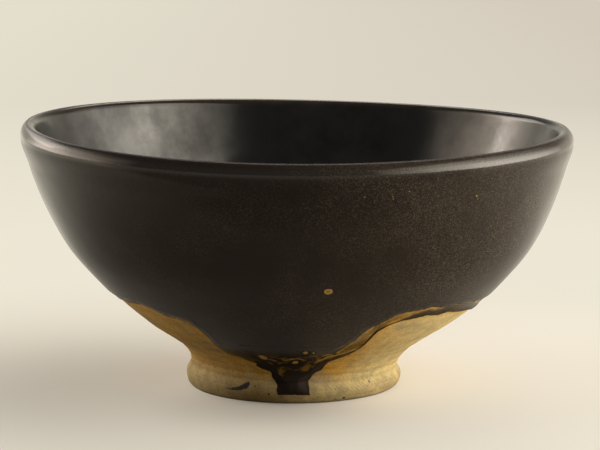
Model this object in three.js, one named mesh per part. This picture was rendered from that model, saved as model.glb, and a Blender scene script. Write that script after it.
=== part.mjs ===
// A wheel-thrown tea bowl: one piece of turned stoneware under its coats of iron-black glaze.
// Millimetres, +Z up. The foot ring stands on z = 0, the rim is centred on the Z axis and the front faces -Y.
// Every coat is built on the same grid of cells as the clay, so each one lies face to face with what it covers.
import * as THREE from 'three';

// Sizes of the thrown wall and lip
const rimRadius = 64.4;
const rimHeight = 61.1;
const lipRadius = 1.35;
const floorWall = 7;
const wallFlareDegrees = 12;
const thickeningPower = 2.2;

// Sizes of the floor and its tea well
const floorHeight = 11.4;
const floorSag = 1.1;
const wellRadius = 14;
const wellDepth = 0.9;
const wellSlope = 1.8;

// Sizes of the turned foot ring and the recess under it
const footRadius = 25.5;
const footHeight = 5.4;
const footBulgeHeight = 2.9;
const neckDepth = 1;
const baseBevel = 1.5;
const shoulderRise = 1.6;
const ringWidth = 6.2;
const ringBevel = 0.6;
const recessDepth = 3.4;
const recessCrown = 0.5;
const recessCorner = 0.9;
const recessDraft = 0.4;

// Sizes of the glaze coats
const crestCoat = 0.35;
const firstCoat = 0.25;
const firstBead = 0.32;
const secondCoat = 0.35;
const secondBead = 0.45;
const beadWidth = 1.2;
const linerCoat = 0.5;
const poolCoat = 1.2;
const runThickness = 1.15;

// How far the hand-thrown bowl is off true
const footOffset = -0.81;
const bellyOffset = 0.95;
const leanStart = 3;
const bellyHeight = 20;
const rimTilt = 1.3;
const rimTiltDegrees = 135;
const rimSaddle = 0.69;
const rimSaddleDegrees = -11;
const footTilt = 0.57;
const footTiltDegrees = 180;
const footTiltFade = 9;
const warpPower = 3;

// Sizes worked out from those above
const shoulderHeight = footHeight + shoulderRise;
const neckRadius = footRadius - neckDepth;
const lipWall = lipRadius + lipRadius;
const lipCentreRadius = rimRadius - lipRadius;
const lipCentreHeight = rimHeight - lipRadius;
const radians = THREE.MathUtils.degToRad;
const wallTop = lipPoint(-wallFlareDegrees);

// The outside of the wall, from the neck to the lip, as shares of the wall's height and of its spread
const wallShares = [
  [0, 0], [0.03, 0.011], [0.085, 0.073], [0.131, 0.161], [0.196, 0.295], [0.289, 0.45],
  [0.4, 0.599], [0.529, 0.744], [0.677, 0.853], [0.826, 0.933], [1, 1],
];
// Where the inside of the wall is set off from the outside, as shares of the wall's height
const insideWallShares = [0.9, 0.77, 0.64, 0.51, 0.4, 0.29, 0.2];
// Level rows of cells on the wall, as shares of its height, then rows on the stretch that leads down to the
// second coat's bead, on the stretch that the run crosses and on the foot, as shares of each
const wallRowShares = [0.86, 0.72, 0.58, 0.45];
const beadRowShares = [0.5, 1];
const runRowShares = [0.2, 0.42, 0.66, 0.88, 1];
const footRowShares = [0.77, 0.58, 0.41, 0.2, 0.06, 0];
// Directions in degrees, round the lip, of its rows outside and inside
const lipOutside = [90, 48, 15, -wallFlareDegrees];
const lipInside = [90, 130, 180 - wallFlareDegrees];

// The edges of the two outer coats: direction in degrees, and share of the height from shoulder to rim
const secondEdgeShares = [
  [-180, 0.303], [-159, 0.305], [-142.5, 0.314], [-134, 0.285], [-127, 0.264], [-124.2, 0.236],
  [-122.9, 0.157], [-121.8, 0.111], [-117, 0.091], [-110, 0.07], [-98, 0.059], [-85, 0.063],
  [-78, 0.102], [-73.8, 0.157], [-71, 0.2], [-69.5, 0.244], [-66, 0.273], [-62, 0.309],
  [-56, 0.323], [-48, 0.32], [-20, 0.292], [0, 0.285], [45, 0.25], [80, 0.205], [100, 0.212],
  [130, 0.277], [160, 0.307], [180, 0.303],
];
const firstEdgeShares = [
  [-180, 0.286], [-159, 0.288], [-142.5, 0.297], [-134, 0.268], [-127, 0.246], [-124.6, 0.214],
  [-123.4, 0.137], [-122.2, 0.096], [-117, 0.076], [-110, 0.055], [-98, 0.042], [-85, 0.041],
  [-78, 0.054], [-74.8, 0.072], [-68.5, 0.113], [-66.3, 0.163], [-65.2, 0.229], [-63.2, 0.257],
  [-59.5, 0.277], [-50, 0.286], [-42, 0.284], [-20, 0.251], [0, 0.248], [45, 0.216], [80, 0.174],
  [100, 0.183], [130, 0.248], [160, 0.285], [180, 0.286],
];
// The outline of the run, as shares of the height of the first coat's edge above the floor
const runLeftDegrees = -98.4;
const runRightDegrees = -81.5;
const runEdgeShares = [
  [-112.4, 0.76], [-110.5, 0.77], [-105, 0.71], [-101.8, 0.59], [-99.2, 0.48], [runLeftDegrees, 0.25],
  [runRightDegrees, 0.23], [-80.8, 0.55], [-80.2, 0.74], [-75.5, 0.76], [-73.8, 0.74],
];

// Columns of cells round the bowl: fine across the front, where the coats' edges dip, and coarse elsewhere
const columnsAcrossRun = 7;
const columnsLeftOfRun = 12;
const columnsRightOfRun = 14;
const columnsRoundBack = 30;

function columnDirections() {
  const fineStep = (runRightDegrees - runLeftDegrees) / columnsAcrossRun;
  const directions = [];
  for (let k = -columnsLeftOfRun; k <= columnsAcrossRun + columnsRightOfRun; k++)
    directions.push(runLeftDegrees + k * fineStep);
  const last = directions[directions.length - 1];
  const coarseStep = (directions[0] + 360 - last) / (columnsRoundBack + 1);
  for (let k = 1; k <= columnsRoundBack; k++)
    directions.push(last + k * coarseStep);
  return directions;
}

// The value at a direction in a table of [direction, value] pairs, on straight lines between them
function tableAt(table, direction) {
  const turned = THREE.MathUtils.euclideanModulo(direction + 180, 360) - 180;
  const next = Math.max(1, table.findIndex(([at]) => at >= turned));
  const [fromAt, from] = table[next - 1];
  const [toAt, to] = table[next];
  return THREE.MathUtils.mapLinear(turned, fromAt, toAt, from, to);
}

// A point of the profile: distance from the axis, and height
function point(radius, height) {
  return { radius, height };
}

function lipPoint(degrees) {
  const turn = radians(degrees);
  return point(lipCentreRadius + lipRadius * Math.cos(turn), lipCentreHeight + lipRadius * Math.sin(turn));
}

// The wall outside, sampled finely along a smooth curve through its points
const wallCurve = new THREE.CatmullRomCurve3(
  wallShares.map(([up, out]) => new THREE.Vector3(
    THREE.MathUtils.lerp(neckRadius, wallTop.radius, out),
    0,
    THREE.MathUtils.lerp(footHeight, wallTop.height, up),
  )),
  false,
  'centripetal',
);
const wallSamples = wallCurve.getPoints(400);

function wallRadiusAt(height) {
  const next = wallSamples.findIndex((sample) => sample.z >= height);
  if (next < 1)
    return next < 0 ? wallTop.radius : neckRadius;
  const from = wallSamples[next - 1];
  const to = wallSamples[next];
  return THREE.MathUtils.mapLinear(height, from.z, to.z, from.x, to.x);
}

// The foot ring swells from the neck to its bulge and rounds in to its base
function footRadiusAt(height) {
  if (height >= footBulgeHeight) {
    const up = (height - footBulgeHeight) / (footHeight - footBulgeHeight);
    return footRadius - neckDepth * THREE.MathUtils.smoothstep(up, 0, 1);
  }
  const down = (footBulgeHeight - height) / footBulgeHeight;
  return footRadius - baseBevel * (1 - Math.sqrt(1 - down * down));
}

function outsidePoint(height) {
  return point(height < footHeight ? footRadiusAt(height) : wallRadiusAt(height), height);
}

function coatEdgeHeight(table, direction) {
  return THREE.MathUtils.lerp(shoulderHeight, rimHeight, tableAt(table, direction));
}

// Clear of the run, its row of cells follows the shoulder above the foot
function runEdgeHeight(direction) {
  const first = runEdgeShares[0][0];
  const last = runEdgeShares[runEdgeShares.length - 1][0];
  if (direction < first || direction > last)
    return shoulderHeight;
  return tableAt(runEdgeShares, direction) * coatEdgeHeight(firstEdgeShares, direction);
}

// The rows of one column outside, from the lip's crest to the middle of the recess under the foot
function outsideRows(direction) {
  const secondEdge = coatEdgeHeight(secondEdgeShares, direction);
  const firstEdge = coatEdgeHeight(firstEdgeShares, direction);
  const runEdge = runEdgeHeight(direction);
  const heights = wallRowShares.map((share) => THREE.MathUtils.lerp(footHeight, wallTop.height, share));
  const lastLevel = heights[heights.length - 1];
  for (const share of beadRowShares)
    heights.push(THREE.MathUtils.lerp(lastLevel, secondEdge + beadWidth, share));
  heights.push(secondEdge, (secondEdge + firstEdge) / 2, firstEdge);
  for (const share of runRowShares)
    heights.push(THREE.MathUtils.lerp(firstEdge, runEdge, share));
  for (const share of footRowShares)
    heights.push(Math.min(runEdge, shoulderHeight) * share);
  return [...lipOutside.map(lipPoint), ...heights.map(outsidePoint), ...recessRows()];
}

function recessRows() {
  const mouth = footRadius - ringWidth;
  const ceiling = recessDepth - recessCrown;
  return [
    point(mouth, 0),
    point(mouth - ringBevel, ringBevel),
    point(mouth - ringBevel - recessDraft, ceiling - recessCorner),
    point(mouth - ringBevel - recessDraft - recessCorner, ceiling),
    point(0, recessDepth),
  ];
}

// A point inside, set off from the wall outside by the wall's thickness, which grows towards the floor
function insideWallPoint(share) {
  const height = THREE.MathUtils.lerp(footHeight, wallTop.height, share);
  const step = (wallTop.height - footHeight) / wallSamples.length;
  const outside = wallRadiusAt(height);
  const spread = (wallRadiusAt(height + step) - wallRadiusAt(height - step)) / (step + step);
  const thickness = lipWall + (floorWall - lipWall) * (1 - share) ** thickeningPower;
  const across = thickness / Math.hypot(1, spread);
  return point(outside - across, height + across * spread);
}

// The rows inside, from the lip's crest down the wall to the middle of the tea well
function insideRows() {
  const wall = insideWallShares.map(insideWallPoint);
  const wallFoot = wall[wall.length - 1];
  const wellEdge = point(wellRadius, floorHeight + wellDepth);
  const floor = point(
    (wallFoot.radius + wellEdge.radius) / 2,
    (wallFoot.height + wellEdge.height) / 2 - floorSag,
  );
  const well = point(wellRadius - wellSlope, floorHeight + wellDepth / wellSlope * (wellSlope - wellDepth) / 2);
  return [...lipInside.map(lipPoint), ...wall, floor, wellEdge, well, point(0, floorHeight)];
}

// Cells hold each row's point, its direction and which way its surface faces
function cellsOf(columns, side) {
  const rows = [];
  columns.forEach(({ direction, points }) => points.forEach((here, row) => {
    const before = points[Math.max(0, row - 1)];
    const after = points[Math.min(points.length - 1, row + 1)];
    const across = after.radius - before.radius;
    const along = after.height - before.height;
    const length = Math.hypot(across, along);
    const square = point(-side * along / length, side * across / length);
    const upright = row === 0 || here.radius === 0;
    const facing = upright ? point(0, row === 0 ? 1 : -side) : square;
    rows[row] = rows[row] || [];
    rows[row].push({ ...here, direction, facing });
  }));
  return rows;
}

// How the hand-thrown bowl leans: its foot is cut off centre, and its belly swells to one side
function leanAt(height) {
  const smoothstep = THREE.MathUtils.smoothstep;
  if (height < bellyHeight)
    return THREE.MathUtils.lerp(footOffset, bellyOffset, smoothstep(height, leanStart, bellyHeight));
  return bellyOffset * (1 - smoothstep(height, bellyHeight, rimHeight));
}

// The rim tips to one side and bends a little, and the foot is taller on one side than the other
function riseAt(radius, height, direction) {
  const smoothstep = THREE.MathUtils.smoothstep;
  const tip = rimTilt * Math.cos(radians(direction - rimTiltDegrees));
  const bend = rimSaddle * Math.cos(radians(2 * (direction - rimSaddleDegrees)));
  const rim = Math.min(1, height / rimHeight) ** warpPower * Math.min(1, radius / rimRadius);
  const fade = 1 - smoothstep(height, shoulderHeight, shoulderHeight + footTiltFade);
  const foot = smoothstep(height, 0, footHeight) * fade * Math.min(1, radius / footRadius);
  return rim * (tip + bend) + foot * footTilt * Math.cos(radians(direction - footTiltDegrees));
}

// The place in space of a cell, at a depth of glaze over the clay
function placed(cell, depth) {
  const radius = cell.radius + depth * cell.facing.radius;
  const height = cell.height + depth * cell.facing.height;
  const turn = radians(cell.direction);
  return new THREE.Vector3(
    leanAt(height) + radius * Math.cos(turn),
    radius * Math.sin(turn),
    height + riseAt(radius, height, cell.direction),
  );
}

// Collects triangles, leaving out those that have shrunk to a line or a point
function addTriangle(corners, a, b, c) {
  if (!a.equals(b) && !b.equals(c) && !c.equals(a))
    corners.push(a, b, c);
}

// Closes the strip between two rows of points; turned says that it faces the other way
function addStrip(corners, upper, lower, turned) {
  for (let j = 0; j < upper.length; j++) {
    const k = (j + 1) % upper.length;
    if (turned) {
      addTriangle(corners, upper[j], lower[k], lower[j]);
      addTriangle(corners, upper[j], upper[k], lower[k]);
    } else {
      addTriangle(corners, upper[j], lower[j], lower[k]);
      addTriangle(corners, upper[j], lower[k], upper[k]);
    }
  }
}

// Adds a coat's two faces between two rows, leaving out the triangles where it has no thickness
function addCoatStrip(corners, under, over, row, turned) {
  const count = under[row].length;
  for (let j = 0; j < count; j++) {
    const k = (j + 1) % count;
    for (const spots of [[[row, j], [row + 1, j], [row + 1, k]], [[row, j], [row + 1, k], [row, k]]]) {
      const [a, b, c] = spots.map(([i, at]) => over[i][at]);
      const [d, e, f] = spots.map(([i, at]) => under[i][at]);
      if (a.equals(d) && b.equals(e) && c.equals(f))
        continue;
      addTriangle(corners, a, turned ? c : b, turned ? b : c);
      addTriangle(corners, d, turned ? e : f, turned ? f : e);
    }
  }
}

function pointsAt(cells, depthAt) {
  return cells.map((row, i) => row.map((cell) => placed(cell, depthAt(i, cell))));
}

function meshOf(name, corners, color, roughness) {
  const geometry = new THREE.BufferGeometry().setFromPoints(corners);
  geometry.computeVertexNormals();
  const material = new THREE.MeshStandardMaterial({ color, roughness, metalness: 0 });
  const mesh = new THREE.Mesh(geometry, material);
  mesh.name = name;
  return mesh;
}

function clayBody(outside, inside) {
  const corners = [];
  const skins = [[pointsAt(outside, () => 0), false], [pointsAt(inside, () => 0), true]];
  for (const [skin, turned] of skins) {
    for (let i = 0; i + 1 < skin.length; i++)
      addStrip(corners, skin[i], skin[i + 1], turned);
  }
  return meshOf('stoneware_body', corners, 0xb08a4e, 0.85);
}

// A coat lies between two depths over the cells, and turned says that its cells face the axis
function coat(name, cells, underAt, overAt, turned, color, roughness) {
  const corners = [];
  const under = pointsAt(cells, underAt);
  const over = pointsAt(cells, overAt);
  for (let i = 0; i + 1 < cells.length; i++)
    addCoatStrip(corners, under, over, i, turned);
  addStrip(corners, over[0], under[0], !turned);
  return meshOf(name, corners, color, roughness);
}

// Rows of cells that the coats' thicknesses name
const beadRow = lipOutside.length + wallRowShares.length + beadRowShares.length - 1;
const secondEdgeRow = beadRow + 1;
const firstBeadRow = secondEdgeRow + 1;
const firstEdgeRow = firstBeadRow + 1;
const runEndRow = firstEdgeRow + runRowShares.length;

function firstDepth(row) {
  if (row >= firstEdgeRow)
    return 0;
  if (row === firstBeadRow)
    return firstBead;
  return row === 0 ? crestCoat : firstCoat;
}

// The second coat starts thin at the lip, is even on the wall and ends in a bead
function secondDepth(row) {
  if (row >= secondEdgeRow)
    return 0;
  if (row === beadRow)
    return secondBead;
  return secondCoat * Math.min(1, row / (lipOutside.length - 1));
}

// The run gathers on its way down, is round across and ends in a blunt edge
function runDepth(row, cell) {
  const from = runEdgeShares[0][0];
  const to = runEdgeShares[runEdgeShares.length - 1][0];
  const across = (cell.direction - (from + to) / 2) / ((to - from) / 2);
  if (Math.abs(across) >= 1 || row <= beadRow || row >= runEndRow)
    return 0;
  const gathered = Math.min(1, (row - beadRow) / (firstEdgeRow - beadRow));
  return runThickness * gathered * Math.sqrt(1 - across * across);
}

// The liner is even on the wall and deepens into a pool in the tea well
function linerDepth(row) {
  const rowsToPool = row - (insideCells.length - 4);
  if (rowsToPool > 0)
    return THREE.MathUtils.lerp(linerCoat, poolCoat, rowsToPool / 3);
  return row === 0 ? crestCoat : linerCoat;
}

const directions = columnDirections();
const outsideCells = cellsOf(
  directions.map((direction) => ({ direction, points: outsideRows(direction) })),
  1,
);
const insideCells = cellsOf(
  directions.map((direction) => ({ direction, points: insideRows() })),
  -1,
);

const outerDepth = (row) => firstDepth(row) + secondDepth(row);
const bowl = new THREE.Group();
bowl.add(
  clayBody(outsideCells, insideCells),
  coat('liner_glaze', insideCells, () => 0, linerDepth, true, 0x17130f, 0.12),
  coat('first_dip_glaze', outsideCells, () => 0, firstDepth, false, 0x6a4a1c, 0.3),
  coat('second_dip_glaze', outsideCells, firstDepth, outerDepth, false, 0x2a2420, 0.35),
  coat(
    'glaze_run',
    outsideCells,
    outerDepth,
    (row, cell) => outerDepth(row) + runDepth(row, cell),
    false,
    0x14100d,
    0.15,
  ),
);

export default bowl;
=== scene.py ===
"""A tea bowl of turned stoneware, with a glossy liner, two dipped coats of iron glaze and their run."""

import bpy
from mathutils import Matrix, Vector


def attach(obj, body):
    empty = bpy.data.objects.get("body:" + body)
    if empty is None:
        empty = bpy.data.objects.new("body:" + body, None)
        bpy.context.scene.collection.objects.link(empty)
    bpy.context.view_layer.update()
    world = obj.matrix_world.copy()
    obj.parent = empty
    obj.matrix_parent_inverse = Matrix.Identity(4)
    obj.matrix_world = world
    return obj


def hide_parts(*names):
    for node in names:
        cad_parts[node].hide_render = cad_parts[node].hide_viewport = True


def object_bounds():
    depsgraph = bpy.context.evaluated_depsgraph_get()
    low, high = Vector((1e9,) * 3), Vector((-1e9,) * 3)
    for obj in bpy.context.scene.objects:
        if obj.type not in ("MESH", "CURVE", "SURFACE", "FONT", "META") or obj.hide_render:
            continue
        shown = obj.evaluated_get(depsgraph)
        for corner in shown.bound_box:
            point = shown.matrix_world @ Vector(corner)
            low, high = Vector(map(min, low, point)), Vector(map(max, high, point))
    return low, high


bl_info = {
    "name": "Iron-Glazed Tea Bowl",
    "version": (1, 0, 0),
    "blender": (4, 5, 0),
    "location": "View3D > Sidebar > Tea Bowl",
    "description": "Turns a stoneware tea bowl, dips it in iron glazes and sets it under soft studio light",
    "category": "Add Mesh",
}

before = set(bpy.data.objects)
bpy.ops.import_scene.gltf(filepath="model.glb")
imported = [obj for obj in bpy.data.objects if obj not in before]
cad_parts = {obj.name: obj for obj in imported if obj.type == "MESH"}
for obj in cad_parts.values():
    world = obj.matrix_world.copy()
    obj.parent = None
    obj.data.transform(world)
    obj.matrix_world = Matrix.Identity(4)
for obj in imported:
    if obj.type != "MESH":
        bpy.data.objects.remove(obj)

import math
from types import SimpleNamespace

import bpy
import numpy as np
from bpy.props import FloatProperty, FloatVectorProperty, PointerProperty
from mathutils import Vector

CAD_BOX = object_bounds()
BODY = "root"

# Shapes are worked out in millimetres and degrees, and meshes are written in metres.
# Directions go round the Z axis, and -90 is the front.
MM = 0.001
FRONT = -90

# The outside of the wall, from the neck to the lip, as shares of its height and of its spread
WALL_SHARES = (
    (0, 0), (0.03, 0.011), (0.085, 0.073), (0.131, 0.161), (0.196, 0.295), (0.289, 0.45),
    (0.4, 0.599), (0.529, 0.744), (0.677, 0.853), (0.826, 0.933), (1, 1),
)
# The wall leans out by this many degrees where it meets the lip
WALL_FLARE = 12
# The wall thickens by this power of the way down, and the inside is drawn through these shares of its height
THICKENING_POWER = 2.2
INSIDE_WALL_SHARES = (0.9, 0.77, 0.64, 0.51, 0.4, 0.29, 0.2)

# The lip rolls over outside, from its crest down to where the straight wall starts
LIP_FALL = 5.4

# Points in each stretch of the profile, and how close two of them can be before they are taken as one
CURVE_STEPS = 40
WALL_STEPS = 60
LIP_STEPS = 80
LEAST_STEP = 1e-6

# Smaller sizes of the thrown and turned clay
FOOT_BULGE_HEIGHT = 2.9
NECK_DEPTH = 1
BASE_BEVEL = 1.5
SHOULDER_RISE = 1.6
RING_BEVEL = 0.6
RECESS_CROWN = 0.5
RECESS_CORNER = 0.9
RECESS_DRAFT = 0.4
FLOOR_SAG = 1.1
WELL_RADIUS = 14
WELL_DEPTH = 0.9
WELL_SLOPE = 1.8

# How the hand-thrown bowl is off true
LEAN_START = 3
BELLY_HEIGHT = 20
RIM_TILT_DIRECTION = 135
RIM_SADDLE = 0.69
RIM_SADDLE_DIRECTION = -11
FOOT_TILT_DIRECTION = 180
FOOT_TILT_FADE = 9
WARP_POWER = 3

# Soft unevenness is a sum of this many waves, whose lengths are spread by these shares.
# Further down a layer of unevenness is given as its height, its spacing and its seed.
WAVE_COUNT = 20
WAVE_SPREAD = (0.6, 1.4)

# What the coats add to the clay's radius at the rim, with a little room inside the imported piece
RIM_COATS = 0.62
# Sizes of the coats that the sidebar doesn't hold
CREST_COAT = 0.35
CREST_FADE = 2.1
COAT_UNEVENNESS = ((0.022, 11, 41), (0.012, 4, 42))
BEAD_WIDTH = 1.2
FIRST_BEAD = 0.3
SECOND_BEAD = 0.03
EDGE_ROUNDING = 0.35
# The second coat thins towards its edge over this distance, and this share of it ends in a rounded step
SECOND_EDGE_TAPER = 1.8
SECOND_EDGE_STEP = 0.2
# The second coat lies thicker where it rolls over the lip: by how much, and where that rises and fades
LIP_ROLL = 0.44
LIP_ROLL_RISE = 2.6
LIP_ROLL_FADE_START, LIP_ROLL_FADE = 3.4, 5.5

# The liner thickens to a pool in the middle, is a little uneven, and shows faint throwing rings
POOL_COAT = 1.2
POOL_RADIUS = 20
LINER_UNEVENNESS = ((0.05, 16, 61), (0.016, 6, 62))
LINER_RING_PITCH = 5.5
LINER_RING_HEIGHT = 0.01
LINER_RING_WANDER = ((0.8, 20, 63),)
# It is even this close to the crest and to the middle
LINER_EVEN_CREST = 5
LINER_EVEN_MIDDLE = 6
# It looks thinner at the crest
LINER_CREST_FILM = 0.86
LINER_FILM_FADE = 2.4
LINER_FILM_WANDER = ((0.15, 5, 64),)

# A coat's edge wanders in broad waves and in ragged ones, the second coat's more than the first's
EDGE_WANDER, EDGE_WANDER_SPACING = 0.13, 2.4
RAGGED_SPACING = 0.7
FIRST_RAGGED, SECOND_RAGGED = 0.05, 0.13
FIRST_EDGE_SEED, SECOND_EDGE_SEED = 31, 37
# An edge is worked out in these steps and a little past half a turn, so that its ends overlap
EDGE_STEP = 0.1
EDGE_OVERLAP = 10
# Places this close to an edge are measured to its nearest point, which is looked for over these directions
EDGE_REACH = 14
SEARCH_REACH = 8
SEARCH_STEP = 0.2
# Directions crowd close to the axis, so a radius counts as no less than this
LEAST_RADIUS = 1.0

# The edges of the two outer coats: direction, and share of the height from the shoulder to the rim
SECOND_EDGE_SHARES = (
    (-180, 0.303), (-170, 0.296), (-159, 0.302), (-151, 0.311), (-142.5, 0.314), (-137.5, 0.298),
    (-133.8, 0.281), (-129.8, 0.275), (-127.5, 0.264), (-126.5, 0.26), (-124.4, 0.237), (-123.2, 0.196),
    (-123, 0.139), (-122.4, 0.116), (-121.4, 0.102), (-117, 0.087), (-113.5, 0.07), (-109.8, 0.063),
    (-98, 0.059), (-85, 0.063), (-78, 0.102), (-73.8, 0.155), (-71.2, 0.187), (-70.2, 0.229),
    (-68.8, 0.25), (-66, 0.272), (-62.5, 0.307), (-59, 0.322), (-53.5, 0.322), (-51.5, 0.331),
    (-48, 0.321), (-40, 0.318), (-20, 0.292), (-8, 0.28), (0, 0.285), (22, 0.272), (45, 0.25), (62, 0.222),
    (80, 0.205), (100, 0.212), (114, 0.246), (130, 0.277), (144, 0.286), (160, 0.307), (180, 0.303),
)
FIRST_EDGE_SHARES = (
    (-180, 0.286), (-170, 0.281), (-159, 0.29), (-151, 0.3), (-142.5, 0.304), (-137.5, 0.288),
    (-133.8, 0.271), (-129.8, 0.264), (-127.8, 0.253), (-126.8, 0.248), (-124.9, 0.226), (-123.7, 0.186),
    (-123.5, 0.129), (-122.9, 0.104), (-121.8, 0.09), (-117, 0.076), (-113.5, 0.059), (-110, 0.052),
    (-98, 0.042), (-85, 0.041), (-78, 0.054), (-74.8, 0.072), (-71.5, 0.094), (-68.5, 0.113),
    (-66.5, 0.146), (-65.9, 0.176), (-65.9, 0.204), (-65.2, 0.233), (-63.2, 0.257), (-59.5, 0.277),
    (-54, 0.283), (-50.8, 0.29), (-46, 0.281), (-42, 0.287), (-36, 0.274), (-20.5, 0.251), (0, 0.248),
    (22, 0.243), (45, 0.216), (62, 0.193), (80, 0.174), (100, 0.183), (114, 0.221), (130, 0.248),
    (144, 0.268), (160, 0.285), (180, 0.286),
)
# How dark and how tall the bead along the first coat's edge is, by direction, as shares
BEAD_SHARES = (
    (-180, 0.35), (-150, 0.15), (-125, 0.1), (-112, 0.2), (-108, 0.6), (-76, 0.8), (-66, 1), (-56, 0.95),
    (-48, 1), (-20, 0.9), (0, 0.55), (35, 0.75), (70, 0.5), (110, 0.7), (150, 0.4), (180, 0.35),
)
# Columns of cells are closer together where the coats' edges drop steeply or are ragged: start, end and step
COLUMN_STEP = 0.7
FINE_STRETCHES = ((-134, -125.5, 0.3), (-125.5, -120.5, 0.12), (-71.5, -64.5, 0.12), (-64.5, -38, 0.3))

# How strongly the outer coats mirror the room, and where the lip's glossy face starts and ends
CREST_SHINE = 0.16
LIP_SHINE = 0.6
WALL_SHINE = 0.2
EDGE_SHINE = 0.03
RUN_SHINE = 0.02
LIP_FACE_START, LIP_FACE_RISE = 0.7, 1.3
LIP_FACE_END, LIP_FACE_FADE = 2.5, 0.9
EDGE_SHINE_REACH = 3.5
# What the glazes' reflections are tinted by
LIP_MIRROR_TINT = (1.0, 0.95, 0.87, 1.0)
WALL_MIRROR_TINT = (1.0, 0.9, 0.77, 1.0)
LINER_MIRROR_TINT = (1.0, 0.96, 0.88, 1.0)
# The second coat is less satin on the lip, where it is stretched, than on the wall
LIP_SATIN = 0.7
SATIN_START, SATIN_RISE = 2, 3.5

# How wide the dark bead looks, by direction
BEAD_WIDTHS = (
    (-180, 1), (-130, 0.8), (-76, 0.9), (-68, 0.6), (-63, 0.9), (-58, 1.4), (-54, 1.9), (-48, 2.2),
    (-42, 2.8), (-36, 3.3), (-20, 3), (0, 1.2), (180, 1),
)
BEAD_WIDTH_WAVER = ((0.25, 4, 71),)
BEAD_FADE = 0.45
# How dark the bead looks, by direction
BEAD_FILMS = ((-180, 0.75), (-68, 0.8), (-58, 0.64), (-36, 0.6), (0, 0.7), (180, 0.75))
# The first coat's strip above its bead, with gold lines beside the bead and below the second coat's edge
STRIP_FILM = 0.28
STRIP_WAVER = ((0.08, 2.5, 72),)
GOLD_LINE_FILM = 0.04
GOLD_LINE_WIDTH = 0.3
BEAD_LINE_GAP, EDGE_LINE_GAP = 0.25, 0.3
GOLD_LINE_STRENGTH = 0.6
BEAD_LINE_WAVER, EDGE_LINE_WAVER = ((0.4, 3, 74),), ((0.4, 3, 75),)
# The second coat is thin and brown along a ragged line at its edge
SECOND_EDGE_FILM, SECOND_FILM = 0.25, 1.25
SECOND_EDGE_LINE = 0.9
SECOND_FILM_WAVER = ((0.12, 0.7, 73),)
# The second coat's bead is lost where the run takes its place
SECOND_BEAD_SHARES = (
    (-180, 0.7), (-130, 0.8), (-124, 1), (-116, 0.5), (-112, 0), (-74, 0), (-71, 0.6), (-60, 0.9),
    (-30, 0.8), (60, 0.9), (140, 0.7), (180, 0.7),
)
# Rows of cells at these distances above a coat's edge
ROWS_ABOVE_EDGE = (10, 7.5, 5.5, 4.2, 3.3, 2.6, 2, 1.5, 1.1, 0.8, 0.55, 0.38, 0.25, 0.15, 0.08, 0.03, 0)

# Marks of turning and of the kiln on the bare clay.  Rings: height, half width, and how far they stand out
TURNING_RINGS = (
    (1.5, 0.25, -0.02), (3.5, 0.25, -0.025), (5.3, 0.32, -0.05), (6.9, 0.35, -0.05), (8.5, 0.3, -0.03),
    (10.3, 0.3, -0.025), (12.2, 0.3, -0.02), (14.4, 0.4, -0.018), (17, 0.4, -0.014), (20, 0.4, -0.01),
)
FINE_RING_PITCH = 0.85
FINE_RING_HEIGHT = 0.01
FINE_RING_WANDER = ((0.1, 9, 51),)
FINE_RING_SHARE, FINE_RING_WAVER = 0.6, ((0.4, 6, 52),)
# The rings rise and fall round the foot: height, waves in a turn, and where they start
RING_DRIFT = ((0.12, 1, 0.6), (0.07, 2, 0))
# Chatter of the turning tool: where it is, in degrees and millimetres, and how it slants
CHATTER_STRETCH = (-78, -36)
CHATTER_FADE = 8
CHATTER_HEIGHT = 3.3
CHATTER_BAND = 1.1
CHATTER_PITCH = 2.4
CHATTER_SLANT = 2.2
CHATTER_DEPTH = 0.022
# The dry skin's own unevenness, and where all these marks fade: at the base, under the glaze and up the wall
SKIN_UNEVENNESS = ((0.020, 2.2, 53), (0.012, 0.9, 54))
RELIEF_BASE_FADE = 0.5
RELIEF_GLAZE_FADE = 0.6
RELIEF_TOP, RELIEF_TOP_FADE = 30, 4
BASE_MARGIN = 0.05
# How strongly the clay flushed orange, by direction, and above which height this shows
FLUSH_SHARES = (
    (-180, 0.6), (-135, 0.62), (-120, 0.75), (-100, 0.8), (-74, 0.95), (-66, 0.75), (-58, 0.3), (-45, 0.06),
    (-20, 0.1), (20, 0.4), (90, 0.6), (180, 0.6),
)
FLUSH_START, FLUSH_RISE = 3.5, 4
# The flush is strong in a line right below the glaze
FLUSH_LINE = 1.2
FLUSH_LINE_SHARE = 0.8
# How much darker the foot's lower edge is, by direction: partly soil from use and partly painted shade, most
# at the front left
SOIL_AND_SHADE_SHARES = (
    (-180, 0.3), (-150, 0.3), (-130, 0.45), (-118, 0.85), (-105, 1), (-92, 0.75), (-70, 0.5), (-40, 0.5),
    (-20, 0.6), (0, 0.6), (180, 0.4),
)
# That fades out towards this height, and is strongest in a thin line where the foot touches the table, a
# painted contact shadow
SOIL_AND_SHADE_HEIGHT, SOIL_AND_SHADE_START = 6, 1.15
CONTACT_HEIGHT, CONTACT_SHADOW = 0.9, 1.3
# Spots and smears: direction, height, half length, half height, slope and strength
CLAY_MARKS = (
    (-115.9, 3.6, 0.85, 0.6, 12, 1.15), (-114.6, 4.1, 0.5, 0.4, -20, 0.95),
    (-117.9, 3.2, 0.95, 0.5, 25, 1.05), (-120.0, 2.9, 1.1, 0.42, 10, 0.95),
    (-122.6, 2.7, 1.3, 0.32, 8, 0.8), (-125.6, 2.6, 1.3, 0.24, 0, 0.6), (-110.5, 3.8, 0.3, 0.4, 0, 0.55),
    (-102.8, 2.25, 0.4, 0.35, 0, 0.7), (-45.8, 4.1, 0.3, 0.5, 0, 0.7), (-62.5, 0.9, 0.5, 0.3, 0, 0.8),
    (-67.5, 0.7, 0.5, 0.25, 0, 0.6), (-48, 3.2, 0.9, 0.4, 0, 0.35),
)

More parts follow.
